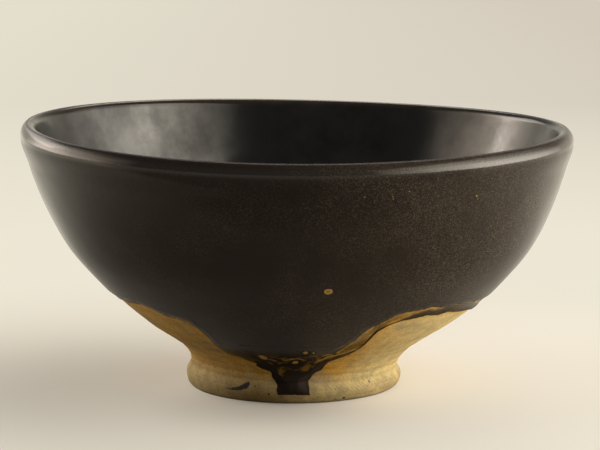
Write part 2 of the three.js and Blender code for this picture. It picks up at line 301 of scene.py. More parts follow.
# The amber spot and the gold flecks in the second coat: direction, height and radius
FLECKS = (
    (-83.15, 31.5, 0.9), (-76.8, 54.2, 0.2), (-67.8, 55, 0.26), (-51.8, 52.5, 0.3), (-51.4, 51.7, 0.2),
    (-36.8, 54.9, 0.26), (-42.2, 58.8, 0.32), (-41, 58.1, 0.3), (-39.8, 57.4, 0.28), (-71.4, 54.6, 0.17),
    (-71.2, 54, 0.18), (-71, 53.4, 0.16), (-65, 57.7, 0.24),
)
# Their outlines waver by this much, and those larger than this have a gold ring round an amber middle
FLECK_WAVER = 0.5
LARGE_FLECK = 0.5
# Where the ring starts and is full, and where the fleck fades out, as shares of its radius
FLECK_RING = (0.45, 0.7)
FLECK_RIM = (0.9, 1.1)

# How finely each piece is made: columns round it, and rows in each stretch
CLAY_COLUMNS = 520
CLAY_LIP_ROWS, CLAY_WALL_ROWS, CLAY_BASE_ROWS = 6, 12, 22
CLAY_INNER_LIP_ROWS, CLAY_INNER_ROWS = 5, 15
FINE_CLAY_TOP = 26
FINE_CLAY_STEP = 0.32
LINER_COLUMNS = 360
LINER_LIP = 4
LINER_LIP_ROWS, LINER_ROWS = 14, 74
LINER_BACK_LIP_ROWS, LINER_BACK_ROWS = 5, 20
COAT_LIP = 4.5
COAT_LIP_ROWS = 13
FIRST_WALL_STEP, SECOND_WALL_STEP = 1.6, 0.62
# A coat's back follows fewer rows than its face: these at the lip, one in so many on the wall, and these
# counted from its edge
BACK_LIP_ROWS = (0, 4, 8)
BACK_WALL_STEP = 6
BACK_EDGE_ROWS = (9, 7, 5, 4, 3, 2)

# The run and the lace above it, in millimetres to the right of the axis and up, as seen from the front
RUN_TOP = 16.2
RUN_FOOT = 2.2
RUN_ROWS = 150
RUN_COLUMNS = 230
RUN_LEFT_WAVER, RUN_RIGHT_WAVER = ((0.10, 0.9, 91),), ((0.10, 0.9, 92),)
# Its lower edge droops in a wave, given as height, turn for each millimetre and start, and in finer waves
RUN_DROOP, RUN_DROOP_TURN, RUN_DROOP_START = 0.05, 0.7, 1.5
RUN_DROOP_WAVER = ((0.025, 0.8, 93),)
RUN_DROOP_REACH = 1.2
# Over the lace it is this thick, and from this height down it goes over into the run's own thickness
LACE_THICKNESS = 0.66
LACE_FOOT, LACE_RISE = 12.5, 4.5
# It stands out a little where its film looks thick, and sinks where that looks thin
RUN_RELIEF = 0.08
RUN_RELIEF_FILM, RUN_EVEN_FILM = 1.2, 0.75
RUN_RELIEF_FADE = 2
LACE_TOP = 15
# The run fills the neck above the foot ring
NECK_POOL = 0.55
NECK_POOL_REACH = 1.7
# It thins out towards its sides, its lower edge and its top, down to a film over the coats
RUN_SIDE_FADE, RUN_FOOT_FADE, RUN_TOP_FADE = 3, 1.6, 2.2
LEAST_RUN = 0.03
RUN_GAP = 0.006
# Its look takes over from that of the coats below over this distance from its rim
RUN_BLEND_START, RUN_BLEND = 0.3, 1.6
# This far inside the second coat's edge that coat shows below the run, and the run's rim blends into it
COVER_BLEND, GLAZE_BLEND = 0.35, 1.2
# The lace is satin only above this height, and where its film is neither thin nor pooled
RUN_SATIN_START, RUN_SATIN_RISE = 11, 2
SATIN_FILM, SATIN_FILM_RISE = 0.7, 0.25
POOLED_FILM, POOLED_FILM_FADE = 1.55, 0.2
# The film of the pooled glaze and of the olive glaze between its strokes, mottled by waves
BLACK_FILM = 1.6
OLIVE_FILM = 0.47
MOTTLE = ((0.12, 0.8, 85),)
MOTTLE_FADE = 3
# The strokes and outlines below are lifted a little, waver by waves in an upright plane, and have soft edges
RUN_PLANE = -25.0
LACE_LIFT = 0.5
LIFT_START, LIFT_RISE = 8, 3
ACROSS_WAVER = ((0.10, 1.3, 81), (0.05, 0.5, 82))
UP_WAVER = ((0.10, 1.2, 83), (0.05, 0.5, 84))
OLIVE_SOFTNESS, BODY_SOFTNESS, STROKE_SOFTNESS = 0.35, 0.22, 0.25
# Where the run's two sides are: height, and place across
RUN_LEFT_EDGE = (
    (2.2, -3.8), (4.4, -3.9), (5.2, -4.4), (6.2, -5.2), (7.4, -5.6), (8.0, -7.5), (8.7, -8.9),
    (10.4, -9.4), (12.5, -11.5), (14, -13), (16.2, -13.4),
)
RUN_RIGHT_EDGE = (
    (2.1, 3.9), (2.7, 3.7), (5.4, 3.4), (5.7, 3.5), (6.5, 4.1), (7.4, 4.7), (8, 5.9), (9.3, 6.6),
    (10.3, 7.3), (11, 8.6), (11.7, 10.1), (12.5, 11.5), (13.9, 13.8), (15, 14.5),
)
# Outlines of the pooled glaze and of the olive glaze above it: place across, and height
BODY_OUTLINE = [
    (-9.9, 12.2), (-9.4, 10.4), (-8.9, 8.7), (-7.5, 8.0), (-5.6, 7.4), (-5.2, 6.2), (-4.4, 5.2), (-3.9, 4.4),
    (-3.8, 1.6), (3.9, 1.6), (3.4, 5.4), (3.5, 5.7), (4.1, 6.5), (4.7, 7.4), (5.9, 8.0), (6.6, 9.3),
    (7.3, 10.3), (8.6, 11.0), (10.1, 11.7), (11.5, 12.5), (13.8, 13.9), (13.7, 14.3), (12.3, 13.6),
    (11.0, 12.9), (9.1, 12.3), (7.4, 11.6), (6.2, 10.9), (5.1, 10.3), (3.5, 8.9), (2.8, 8.0), (2.0, 7.9),
    (0.7, 8.4), (-1.5, 8.7), (-2.2, 8.1), (-2.7, 6.5), (-2.9, 6.5), (-3.4, 7.9), (-4.3, 9.1), (-6.3, 10.3),
    (-8.1, 11.3), (-9.0, 12.1),
]
OLIVE_OUTLINE = [
    (-8.9, 11.8), (-6.3, 10.3), (-4.3, 9.1), (-3.4, 7.9), (-2.7, 6.4), (-1.9, 8.3), (0.7, 8.4), (2.6, 7.7),
    (5.1, 10.3), (9.1, 12.3), (13.7, 14.3), (12.6, 14.6), (9.5, 13.6), (6.8, 13.2), (3.9, 13.0),
    (2.4, 11.2), (-1.8, 12.3), (-4.9, 12.1), (-9.2, 12.6),
]
# Strokes of thicker and thinner glaze, laid in this order: film, and points with a half width each
RUN_STROKES = (
    (BLACK_FILM, (
        ((-9.9, 12.3, 0.25), (-8.3, 11.3, 0.3), (-7.2, 10.9, 0.3), (-6.0, 10.5, 0.32), (-5.2, 10.2, 0.3),
         (-4.1, 9.6, 0.3), (-2.0, 9.9, 0.3), (-1.6, 10.5, 0.25)),
        ((-9.2, 12.5, 0.2), (-8.0, 12.3, 0.22), (-6.6, 11.8, 0.22), (-5.2, 11.4, 0.25), (-3.4, 11.0, 0.25)),
        ((-2.0, 9.9, 0.3), (-0.2, 9.2, 0.35), (1.5, 9.9, 0.35), (2.2, 10.9, 0.3)),
    )),
    (0.12, (
        ((-6.9, 11.6, 0.08), (-5.9, 11.2, 0.12), (-4.9, 10.75, 0.08)),
        ((-1.2, 11.6, 0.06), (0.3, 12.1, 0.12), (1.8, 12.15, 0.12), (2.7, 11.8, 0.06)),
        ((5.4, 12.6, 0.18), (6.9, 13.0, 0.26), (8.0, 12.9, 0.15)),
        ((-2.6, 11.1, 0.12), (-1.9, 11.5, 0.16), (-0.5, 11.9, 0.18), (0.9, 11.6, 0.16), (2.2, 11.3, 0.1)),
        ((4.2, 10.6, 0.2), (6.3, 11.9, 0.28), (8.6, 12.8, 0.3), (11.0, 13.6, 0.28), (13.0, 14.4, 0.15)),
    )),
    (0.36, (
        ((-4.7, 11.9, 0.12), (-3.2, 11.7, 0.16), (-2.6, 12.1, 0.16), (-2.0, 12.5, 0.12)),
        ((-6.9, 10.6, 0.14), (-6.0, 10.25, 0.25), (-4.9, 9.8, 0.12)),
    )),
    (0.3, (
        ((-1.0, 13.9, 0.06), (0.1, 14.6, 0.1), (1.6, 14.75, 0.1), (3.2, 14.6, 0.08), (4.6, 14.75, 0.06)),
    )),
    (0.68, (
        ((-13.3, 13.4, 0.12), (-11.6, 13.9, 0.15)), ((-7.6, 15.4, 0.1), (-6.6, 15.6, 0.12)),
        ((1.1, 14.8, 0.1), (5.9, 14.6, 0.14)),
    )),
)
# Oval spots, laid over the strokes: film, and centres with half length, half height and slope
RUN_SPOTS = (
    (BLACK_FILM, (
        (-0.3, 10.5, 1.6, 1.0, 5), (1.6, 13.7, 1.3, 0.95, 4), (3.3, 13.75, 0.7, 0.65, 0),
        (2.9, 11.6, 0.55, 0.6, 0),
    )),
    (-0.25, ((-7.7, 12.1, 1.05, 0.42, -18),)),
    (0.3, ((-3.2, 8.1, 0.38, 1.1, 0), (2.6, 9.2, 0.85, 0.6, 40))),
    (-0.25, ((-0.35, 10.6, 0.8, 0.5, 5), (1.4, 13.75, 0.55, 0.45, 8))),
    (-0.2, ((3.3, 13.75, 0.3, 0.3, 0),)),
)


def linear(code):
    """The linear colour of an sRGB hex value."""
    values = [int(code[i:i + 2], 16) / 255 for i in (1, 3, 5)]
    return tuple(v / 12.92 if v <= 0.04045 else ((v + 0.055) / 1.055) ** 2.4 for v in values)


def rgba(colour):
    return (*tuple(colour)[:3], 1.0)


def length(label, description, default):
    """A length property in metres, from a default in millimetres."""
    return FloatProperty(
        name=label, description=description, default=default * MM, unit="LENGTH", precision=5,
    )


def colour(label, description, code):
    return FloatVectorProperty(
        name=label, description=description, default=linear(code), subtype="COLOR", min=0, max=1,
    )


def rim_radius_from_frame():
    """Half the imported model's narrower side, in millimetres, less what the coats add."""
    low, high = CAD_BOX
    return min(high.x - low.x, high.y - low.y) / 2 / MM - RIM_COATS


class TeaBowlSizes(bpy.types.PropertyGroup):
    """Sizes of the bowl"""
    rim_radius: length("Rim Radius", "Radius of the bare clay at the lip", rim_radius_from_frame())
    rim_height: length("Rim Height", "Mean height of the bare clay's lip", 61.05)
    lip_radius: length("Lip Rounding", "Radius of the round lip", 1.35)
    floor_wall: length("Wall at the Floor", "Thickness that the wall has grown to at the floor", 7)
    floor_height: length("Floor Height", "Height of the clay in the middle of the floor", 11.4)
    foot_radius: length("Foot Radius", "Radius of the foot ring at its bulge", 25.5)
    foot_height: length("Foot Height", "Height of the neck above the foot ring", 5.4)
    ring_width: length("Ring Width", "Width of the foot ring that the bowl stands on", 6.2)
    recess_depth: length("Recess Depth", "Depth of the recess inside the foot ring", 3.4)
    foot_offset: length("Foot Offset", "How far to the right the foot is off centre", -0.81)
    belly_offset: length("Belly Offset", "How far to the right the belly swells", 0.95)
    rim_tilt: length("Rim Tilt", "How much higher the rim is at the back left", 1.28)
    foot_tilt: length("Foot Tilt", "How much taller the foot is on the left", 0.57)
    first_coat: length("First Coat", "Thickness of the first outer coat", 0.25)
    second_coat: length("Second Coat", "Thickness of the second outer coat", 0.35)
    liner_coat: length("Liner Coat", "Thickness of the coat inside", 0.5)
    run_thickness: length("Run Thickness", "Thickness of the run on the foot", 0.7)


class TeaBowlColours(bpy.types.PropertyGroup):
    """Colours of the clay, the glazes and the studio"""
    clay: colour("Clay", "Bare buff stoneware", "#d2bd82")
    flushed_clay: colour("Flushed Clay", "Orange flush of the clay close to the glaze", "#e0a430")
    grey_clay: colour("Grey Clay", "Patches that fired greyer", "#a4967a")
    # This colour darkens the foot's lower edge, partly as soil and partly as painted shade
    soil_and_shade: colour("Soil and Shade", "How much darker the foot's lower edge is, from soil and painted shade", "#bba68c")
    # This colour also paints the pinholes' shade
    stain: colour("Stain", "Blue-black smears and iron spots on the clay", "#1d2026")
    amber: colour("Amber", "Iron glaze where it is thin", "#8f6c28")
    olive: colour("Olive", "Iron glaze of middling thickness", "#514227")
    deep_brown: colour("Deep Brown", "Iron glaze that is nearly thick enough to turn black", "#251b10")
    satin_black: colour("Satin Black", "Second coat where it is thick", "#251d19")
    run_black: colour("Run Black", "Run where it pooled", "#332b24")
    liner_black: colour("Liner Black", "Glossy coat inside", "#0d0a08")
    speck: colour("Specks", "Tiny crystals in the satin coat", "#b9a987")
    gold: colour("Gold Flecks", "Larger flecks, and the ring round the amber spot", "#c39b55")
    fleck: colour("Small Flecks", "The smaller flecks in the satin coat", "#8f7e4b")
    spot: colour("Amber Spot", "Middle of the amber spot", "#9c7634")
    floor: colour("Floor", "Pale floor near the bowl", "#f3eee4")
    floor_bounce: colour("Floor Bounce", "Light that the floor throws back at the bowl", "#efe5d2")
    backdrop: colour("Backdrop", "Pale background behind the bowl", "#ede6d4")
    backdrop_far: colour("Far Backdrop", "Pale background at the top left of the view", "#e4decd")
    backdrop_right: colour("Right Backdrop", "Pale background at the top right of the view", "#d4cbbc")


def sizes():
    """The sidebar's sizes in millimetres, with the smaller ones that follow from them."""
    chosen = bpy.context.scene.tea_bowl_sizes
    size = SimpleNamespace(**{name: getattr(chosen, name) / MM for name in TeaBowlSizes.__annotations__})
    size.shoulder_height = size.foot_height + SHOULDER_RISE
    size.neck_radius = size.foot_radius - NECK_DEPTH
    return size


def smooth(share):
    """Eases a share from 0 to 1."""
    share = np.clip(share, 0.0, 1.0)
    return share * share * (3 - 2 * share)


def mixed(low, high, share):
    return low + (high - low) * share


def waves(points, spacing, seed):
    """Soft unevenness from -1 to 1 about this many millimetres across, the same on every run."""
    draw = np.random.default_rng(seed)
    total = np.zeros(points.shape[:-1])
    for _ in range(WAVE_COUNT):
        course = draw.normal(size=3)
        course *= draw.uniform(*WAVE_SPREAD) * math.pi / spacing / np.linalg.norm(course)
        total += np.cos(points @ course + draw.uniform(0, 2 * math.pi))
    return total / math.sqrt(WAVE_COUNT)


def unevenness(points, layers):
    """The sum of layers of waves, each given as its height, its spacing and its seed."""
    return sum(height * waves(points, spacing, seed) for height, spacing, seed in layers)


def between(start, end, start_time, end_time, time):
    return mixed(start, end, (time - start_time) / (end_time - start_time))


def curve_through(points, steps):
    """Fine points of a smooth curve through a few points, timed by the root of the distance between them."""
    points = np.asarray(points, float)
    ends = np.vstack([2 * points[0] - points[1], points, 2 * points[-1] - points[-2]])
    spans = np.sqrt(np.linalg.norm(np.diff(ends, axis=0), axis=1))
    knots = np.concatenate([[0], np.cumsum(spans)])
    line = []
    for i in range(len(points) - 1):
        a, b, c, d = ends[i:i + 4]
        ta, tb, tc, td = knots[i:i + 4]
        time = np.linspace(tb, tc, steps, endpoint=False)[:, None]
        ab = between(a, b, ta, tb, time)
        bc = between(b, c, tb, tc, time)
        cd = between(c, d, tc, td, time)
        line.append(between(between(ab, bc, ta, tc, time), between(bc, cd, tb, td, time), tb, tc, time))
    return np.vstack([*line, points[-1:]])


class ProfileLine:
    """One side of the bowl's profile: fine points from the lip's crest to the axis, with their facing."""

    def __init__(self, points, side):
        points = np.asarray(points, float)
        steps = np.linalg.norm(np.diff(points, axis=0), axis=1)
        apart = steps > LEAST_STEP
        self.points = points[np.concatenate([[True], apart])]
        self.station = np.concatenate([[0], np.cumsum(steps[apart])])
        slope = np.gradient(self.points, self.station, axis=0)
        slope /= np.linalg.norm(slope, axis=1)[:, None]
        self.facing = side * np.stack([-slope[:, 1], slope[:, 0]], axis=1)
        self.facing[0] = (0, 1)
        self.facing[-1] = (0, -side)
        self.length = self.station[-1]

    def at(self, station):
        """Radius, height and facing at a distance along the line."""
        return [np.interp(station, self.station, column)
                for column in (*self.points.T, *self.facing.T)]

    def radius(self, station):
        return np.interp(station, self.station, self.points[:, 0])

    def height(self, station):
        return np.interp(station, self.station, self.points[:, 1])

    def station_at(self, height):
        """The distance along the line at which it first comes down to a height."""
        last = int(np.argmin(self.points[:, 1]))
        return np.interp(-np.asarray(height, float), -self.points[:last + 1, 1], self.station[:last + 1])


def lip_arc(size, degrees):
    turn = np.radians(degrees)
    return np.stack([
        size.rim_radius - size.lip_radius + size.lip_radius * np.cos(turn),
        size.rim_height - size.lip_radius + size.lip_radius * np.sin(turn),
    ], axis=1)


def wall_line(size):
    """The wall outside, from the neck up to where the lip's rounding starts."""
    top = lip_arc(size, [-WALL_FLARE])[0]
    points = [
        (mixed(size.neck_radius, top[0], out), mixed(size.foot_height, top[1], up))
        for up, out in WALL_SHARES
    ]
    return curve_through(points, WALL_STEPS)


def outside_line(size):
    """From the lip's crest down the wall and the foot ring, and in to the middle of the recess."""
    wall = wall_line(size)[::-1]
    wall = wall[wall[:, 1] < size.rim_height - LIP_FALL]
    crest = lip_arc(size, [90])[0]
    course = wall[0] - wall[1]
    corner = wall[0] + course * (crest[1] - wall[0][1]) / course[1]
    turn = np.radians(np.linspace(90, 0, LIP_STEPS))[:, None]
    lip = corner + (wall[0] - corner) * (1 - np.sin(turn)) + (crest - corner) * (1 - np.cos(turn))
    up = np.linspace(1, 0, CURVE_STEPS)
    neck = np.stack([
        size.foot_radius - NECK_DEPTH * smooth(up),
        mixed(FOOT_BULGE_HEIGHT, size.foot_height, up),
    ], axis=1)
    down = np.sin(np.radians(np.linspace(0, 90, CURVE_STEPS)))
    heel = np.stack([
        size.foot_radius - BASE_BEVEL * (1 - np.sqrt(1 - down * down)),
        FOOT_BULGE_HEIGHT * (1 - down),
    ], axis=1)
    mouth = size.foot_radius - size.ring_width
    ceiling = size.recess_depth - RECESS_CROWN
    inner = mouth - RING_BEVEL - RECESS_DRAFT
    recess = [
        (mouth, 0), (mouth - RING_BEVEL, RING_BEVEL), (inner, ceiling - RECESS_CORNER),
        (inner - RECESS_CORNER, ceiling), (0, size.recess_depth),
    ]
    return ProfileLine(np.vstack([lip, wall[1:], neck[1:], heel[1:], recess]), 1)


def inside_line(size):
    """From the lip's crest down the inside of the wall and across the floor to the middle of its well."""
    lip = lip_arc(size, np.linspace(90, 180 - WALL_FLARE, CURVE_STEPS))
    wall = wall_line(size)
    slope = np.gradient(wall, axis=0)
    slope /= np.linalg.norm(slope, axis=1)[:, None]
    share = (wall[:, 1] - size.foot_height) / (wall[-1, 1] - size.foot_height)
    lip_wall = 2 * size.lip_radius
    thickness = mixed(lip_wall, size.floor_wall, (1 - share) ** THICKENING_POWER)
    offset = wall + thickness[:, None] * np.stack([-slope[:, 1], slope[:, 0]], axis=1)
    inside = [tuple(offset[np.argmin(abs(share - at))]) for at in INSIDE_WALL_SHARES]
    wall_foot = inside[-1]
    well_edge = (WELL_RADIUS, size.floor_height + WELL_DEPTH)
    floor = (
        (wall_foot[0] + well_edge[0]) / 2,
        (wall_foot[1] + well_edge[1]) / 2 - FLOOR_SAG,
    )
    well_rise = WELL_DEPTH * (WELL_SLOPE - WELL_DEPTH) / 2 / WELL_SLOPE
    well = (WELL_RADIUS - WELL_SLOPE, size.floor_height + well_rise)
    middle = (0, size.floor_height)
    drop = curve_through([tuple(lip[-1]), *inside, floor, well_edge, well, middle], CURVE_STEPS)
    return ProfileLine(np.vstack([lip, drop[1:]]), -1)


def table_at(table, direction):
    """The value at a direction in a table of pairs, on straight lines between them."""
    at, value = np.asarray(table, float).T
    turned = (np.asarray(direction) + 180) % 360 - 180
    return np.interp(turned, at, value)


def placed(size, line, station, direction, depth):
    """Points in millimetres at a depth over one side of the clay, with the bowl's lean, tilt and saddle."""
    radius, height, outward, upward = line.at(station)
    radius = radius + depth * outward
    height = height + depth * upward
    to_belly = smooth((height - LEAN_START) / (BELLY_HEIGHT - LEAN_START))
    to_rim = smooth((height - BELLY_HEIGHT) / (size.rim_height - BELLY_HEIGHT))
    low = mixed(size.foot_offset, size.belly_offset, to_belly)
    lean = np.where(height < BELLY_HEIGHT, low, size.belly_offset * (1 - to_rim))
    tip = size.rim_tilt * np.cos(np.radians(direction - RIM_TILT_DIRECTION))
    bend = RIM_SADDLE * np.cos(np.radians(2 * (direction - RIM_SADDLE_DIRECTION)))
    rim = np.clip(height / size.rim_height, 0, 1) ** WARP_POWER * np.clip(radius / size.rim_radius, 0, 1)
    fade = 1 - smooth((height - size.shoulder_height) / FOOT_TILT_FADE)
    foot = smooth(height / size.foot_height) * fade * np.clip(radius / size.foot_radius, 0, 1)
    rise = rim * (tip + bend)
    rise = rise + foot * size.foot_tilt * np.cos(np.radians(direction - FOOT_TILT_DIRECTION))
    turn = np.radians(direction)
    return np.stack([lean + radius * np.cos(turn), radius * np.sin(turn), height + rise], axis=-1)


def level_points(line, station, direction):
    """Points before the lean and tilt, for unevenness that has to be the same on every coat."""
    radius = line.radius(station)
    turn = np.radians(direction)
    across, away = radius * np.cos(turn), radius * np.sin(turn)
    return np.stack(np.broadcast_arrays(across, away, line.height(station)), axis=-1)


class CoatEdge:
    """The lower edge of a dipped coat, worked out finely all the way round once."""

    def __init__(self, size, line, shares, seed, ragged):
        self.line = line
        last = 180 + EDGE_OVERLAP
        self.direction = np.arange(-last, last + EDGE_STEP / 10, EDGE_STEP)
        height = mixed(size.shoulder_height, size.rim_height, table_at(shares, self.direction))
        turn = np.radians(self.direction)
        ring = size.foot_radius * np.stack([np.cos(turn), np.sin(turn), np.zeros_like(turn)], axis=-1)
        layers = ((EDGE_WANDER, EDGE_WANDER_SPACING, seed), (ragged, RAGGED_SPACING, seed + 1))
        self.station = line.station_at(height) + unevenness(ring, layers)

    def at(self, direction):
        turned = (np.asarray(direction) + 180) % 360 - 180
        return np.interp(turned, self.direction, self.station)

    def inside(self, station, direction):
        """How far inside the edge a place is along the surface, in millimetres, and negative outside it."""
        station, direction = np.broadcast_arrays(station, direction)
        straight = self.at(direction) - station
        result = straight.astype(float).copy()
        near = abs(straight) < EDGE_REACH
        down, turn = station[near], direction[near]
        radius = np.maximum(self.line.radius(down), LEAST_RADIUS)
        offsets = np.arange(-SEARCH_REACH, SEARCH_REACH + SEARCH_STEP / 20, SEARCH_STEP)
        edges = [self.at(turn + offset) - down for offset in offsets]
        nearest = np.full(down.shape, np.inf)
        for k in range(len(offsets) - 1):
            x = radius * math.radians(offsets[k])
            run = radius * math.radians(offsets[k + 1] - offsets[k])
            y = edges[k]
            rise = edges[k + 1] - y
            share = np.clip(-(x * run + y * rise) / (run * run + rise * rise), 0, 1)
            nearest = np.minimum(nearest, np.hypot(x + share * run, y + share * rise))
        result[near] = np.where(straight[near] > 0, nearest, -nearest)
        return result


def rounded(distance, width):
    """The height of a quarter round edge, from 0 at the edge to 1."""
    share = np.clip(distance / width, 0, 1)
    return np.sqrt(1 - (1 - share) ** 2)


class OuterSurface:
    """The clay outside with its two dipped coats, as depths over the same profile line."""

    def __init__(self, size):
        self.size = size
        self.line = outside_line(size)
        self.first_edge = CoatEdge(size, self.line, FIRST_EDGE_SHARES, FIRST_EDGE_SEED, FIRST_RAGGED)
        self.second_edge = CoatEdge(size, self.line, SECOND_EDGE_SHARES, SECOND_EDGE_SEED, SECOND_RAGGED)

    def bare_depth(self, station, direction):
        return np.zeros(np.shape(station))

    def first_depth(self, station, direction):
        inside = self.first_edge.inside(station, direction)
        bead = table_at(BEAD_SHARES, direction) * FIRST_BEAD * smooth(1 - inside / BEAD_WIDTH)
        coat = mixed(CREST_COAT, self.size.first_coat, smooth(station / CREST_FADE)) + bead
        return np.where(inside > 0, coat * rounded(inside, EDGE_ROUNDING), 0)

    def second_depth(self, station, direction):
        inside = self.second_edge.inside(station, direction)
        bead = table_at(SECOND_BEAD_SHARES, direction) * SECOND_BEAD * smooth(1 - inside / BEAD_WIDTH)
        uneven = unevenness(level_points(self.line, station, direction), COAT_UNEVENNESS)
        fade = smooth((station - LIP_ROLL_FADE_START) / LIP_ROLL_FADE)
        roll = LIP_ROLL * smooth(station / LIP_ROLL_RISE) * (1 - fade)
        coat = (self.size.second_coat + bead + uneven) * smooth(station / CREST_FADE) + roll
        thinned = mixed(smooth(inside / SECOND_EDGE_TAPER), rounded(inside, EDGE_ROUNDING), SECOND_EDGE_STEP)
        return np.where(inside > 0, coat * thinned, 0)

    def both_depths(self, station, direction):
        return self.first_depth(station, direction) + self.second_depth(station, direction)

    def place(self, station, direction, depth):
        return placed(self.size, self.line, station, direction, depth)


def coat_directions():
    """Directions of the columns of cells round the outer coats."""
    direction = -180.0
    found = []
    while direction < 180 - COLUMN_STEP / 2:
        found.append(direction)
        finer = [step for low, high, step in FINE_STRETCHES if low <= direction < high]
        direction += finer[0] if finer else COLUMN_STEP
    return np.array(found)


def new_piece(name, points, faces, material, node, values):
    """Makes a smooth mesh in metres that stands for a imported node, with named values at its corners."""
    a, b, c = (points[faces[:, k]] for k in range(3))
    if np.einsum("ij,ij->i", a, np.cross(b, c)).sum() < 0:
        faces = faces[:, ::-1]
    mesh = bpy.data.meshes.new(name)
    mesh.from_pydata((points * MM).tolist(), [], faces.tolist())
    if mesh.validate():
        raise RuntimeError(f"The mesh of {name} has faulty faces")
    for key, value in values.items():
        attribute = mesh.attributes.new(key, "FLOAT", "POINT")
        attribute.data.foreach_set("value", np.ravel(value).astype(np.float32))
    mesh.shade_smooth()
    mesh.materials.append(material)
    piece = bpy.data.objects.new(name, mesh)
    bpy.context.scene.collection.objects.link(piece)
    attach(piece, BODY)
    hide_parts(node)


def strip_faces(upper, lower, count):
    """Pairs of triangles between two rings of corners, given the numbers of their first corners."""
    here = np.arange(count)
    after = (here + 1) % count
    return np.vstack([
        np.stack([upper + here, lower + here, lower + after], axis=1),
        np.stack([upper + here, lower + after, upper + after], axis=1),
    ])


def closed_rows(rows, joined, values):
    """Corners and faces of rows of points that run right round, and the rows of values at those corners.

    The last row joins the first, or else the first and last rows are each drawn together in one point."""
    count = rows[0].shape[0]
    if joined:
        faces = [strip_faces(i * count, (i + 1) % len(rows) * count, count) for i in range(len(rows))]
        return np.vstack(rows), np.vstack(faces), {name: np.concatenate(row) for name, row in values.items()}
    rings = rows[1:-1]
    points = np.vstack([*rings, rows[0][:1], rows[-1][:1]])
    faces = [strip_faces(i * count, (i + 1) * count, count) for i in range(len(rings) - 1)]
    here = np.arange(count)
    after = (here + 1) % count
    first, last = len(rings) * count, len(rings) * count + 1
    end = (len(rings) - 1) * count
    faces.append(np.stack([np.full(count, first), here, after], axis=1))
    faces.append(np.stack([np.full(count, last), end + after, end + here], axis=1))
    at_corners = {
        name: np.concatenate([*row[1:-1], row[0][:1], row[-1][:1]]) for name, row in values.items()
    }
    return points, np.vstack(faces), at_corners


def clay_relief(surface, station, direction):
    """How far the turned clay stands out, in millimetres: rings from the tool, chatter and a dry skin."""
    line = surface.line
    height = line.height(station)
    even = level_points(line, station, direction)
    turn = np.radians(direction)
    drift = sum(rise * np.sin(count * turn + start) for rise, count, start in RING_DRIFT)
    relief = np.zeros(np.shape(height))
    for ring, width, depth in TURNING_RINGS:
        relief += depth * np.exp(-((height - ring - drift) / width) ** 2)
    fine = np.sin(2 * math.pi * (height + drift + unevenness(even, FINE_RING_WANDER)) / FINE_RING_PITCH)
    relief += FINE_RING_HEIGHT * fine * (FINE_RING_SHARE + unevenness(even, FINE_RING_WAVER))
    low, high = CHATTER_STRETCH
    stretch = smooth((direction - low) / CHATTER_FADE) * smooth((high - direction) / CHATTER_FADE)
    band = np.exp(-((height - CHATTER_HEIGHT) / CHATTER_BAND) ** 2)
    slant = direction + CHATTER_SLANT * height
    relief += CHATTER_DEPTH * stretch * band * np.sin(2 * math.pi * slant / CHATTER_PITCH)
    relief += unevenness(even, SKIN_UNEVENNESS)
    inside = surface.first_edge.inside(station, direction)
    shown = smooth(height / RELIEF_BASE_FADE) * smooth((RELIEF_GLAZE_FADE - inside) / RELIEF_GLAZE_FADE)
    shown = shown * smooth((RELIEF_TOP - height) / RELIEF_TOP_FADE)
    base = np.asarray(station) > line.station_at(0.0) - BASE_MARGIN
    return np.where(base, 0, relief * shown)


def stain_at(surface, station, direction):
    """How strongly iron spots and glaze smears mark the clay, from 0 to 1."""
    height = surface.line.height(station)
    radius = surface.line.radius(station)
    strength = np.zeros(np.shape(height))
    for course, up, half_length, half_height, slope, dark in CLAY_MARKS:
        along = radius * np.radians(direction - course)
        rise = height - up
        turn = math.radians(slope)
        long = (along * math.cos(turn) + rise * math.sin(turn)) / half_length
        short = (-along * math.sin(turn) + rise * math.cos(turn)) / half_height
        strength = np.maximum(strength, dark * np.exp(-(long * long + short * short)))
    return strength


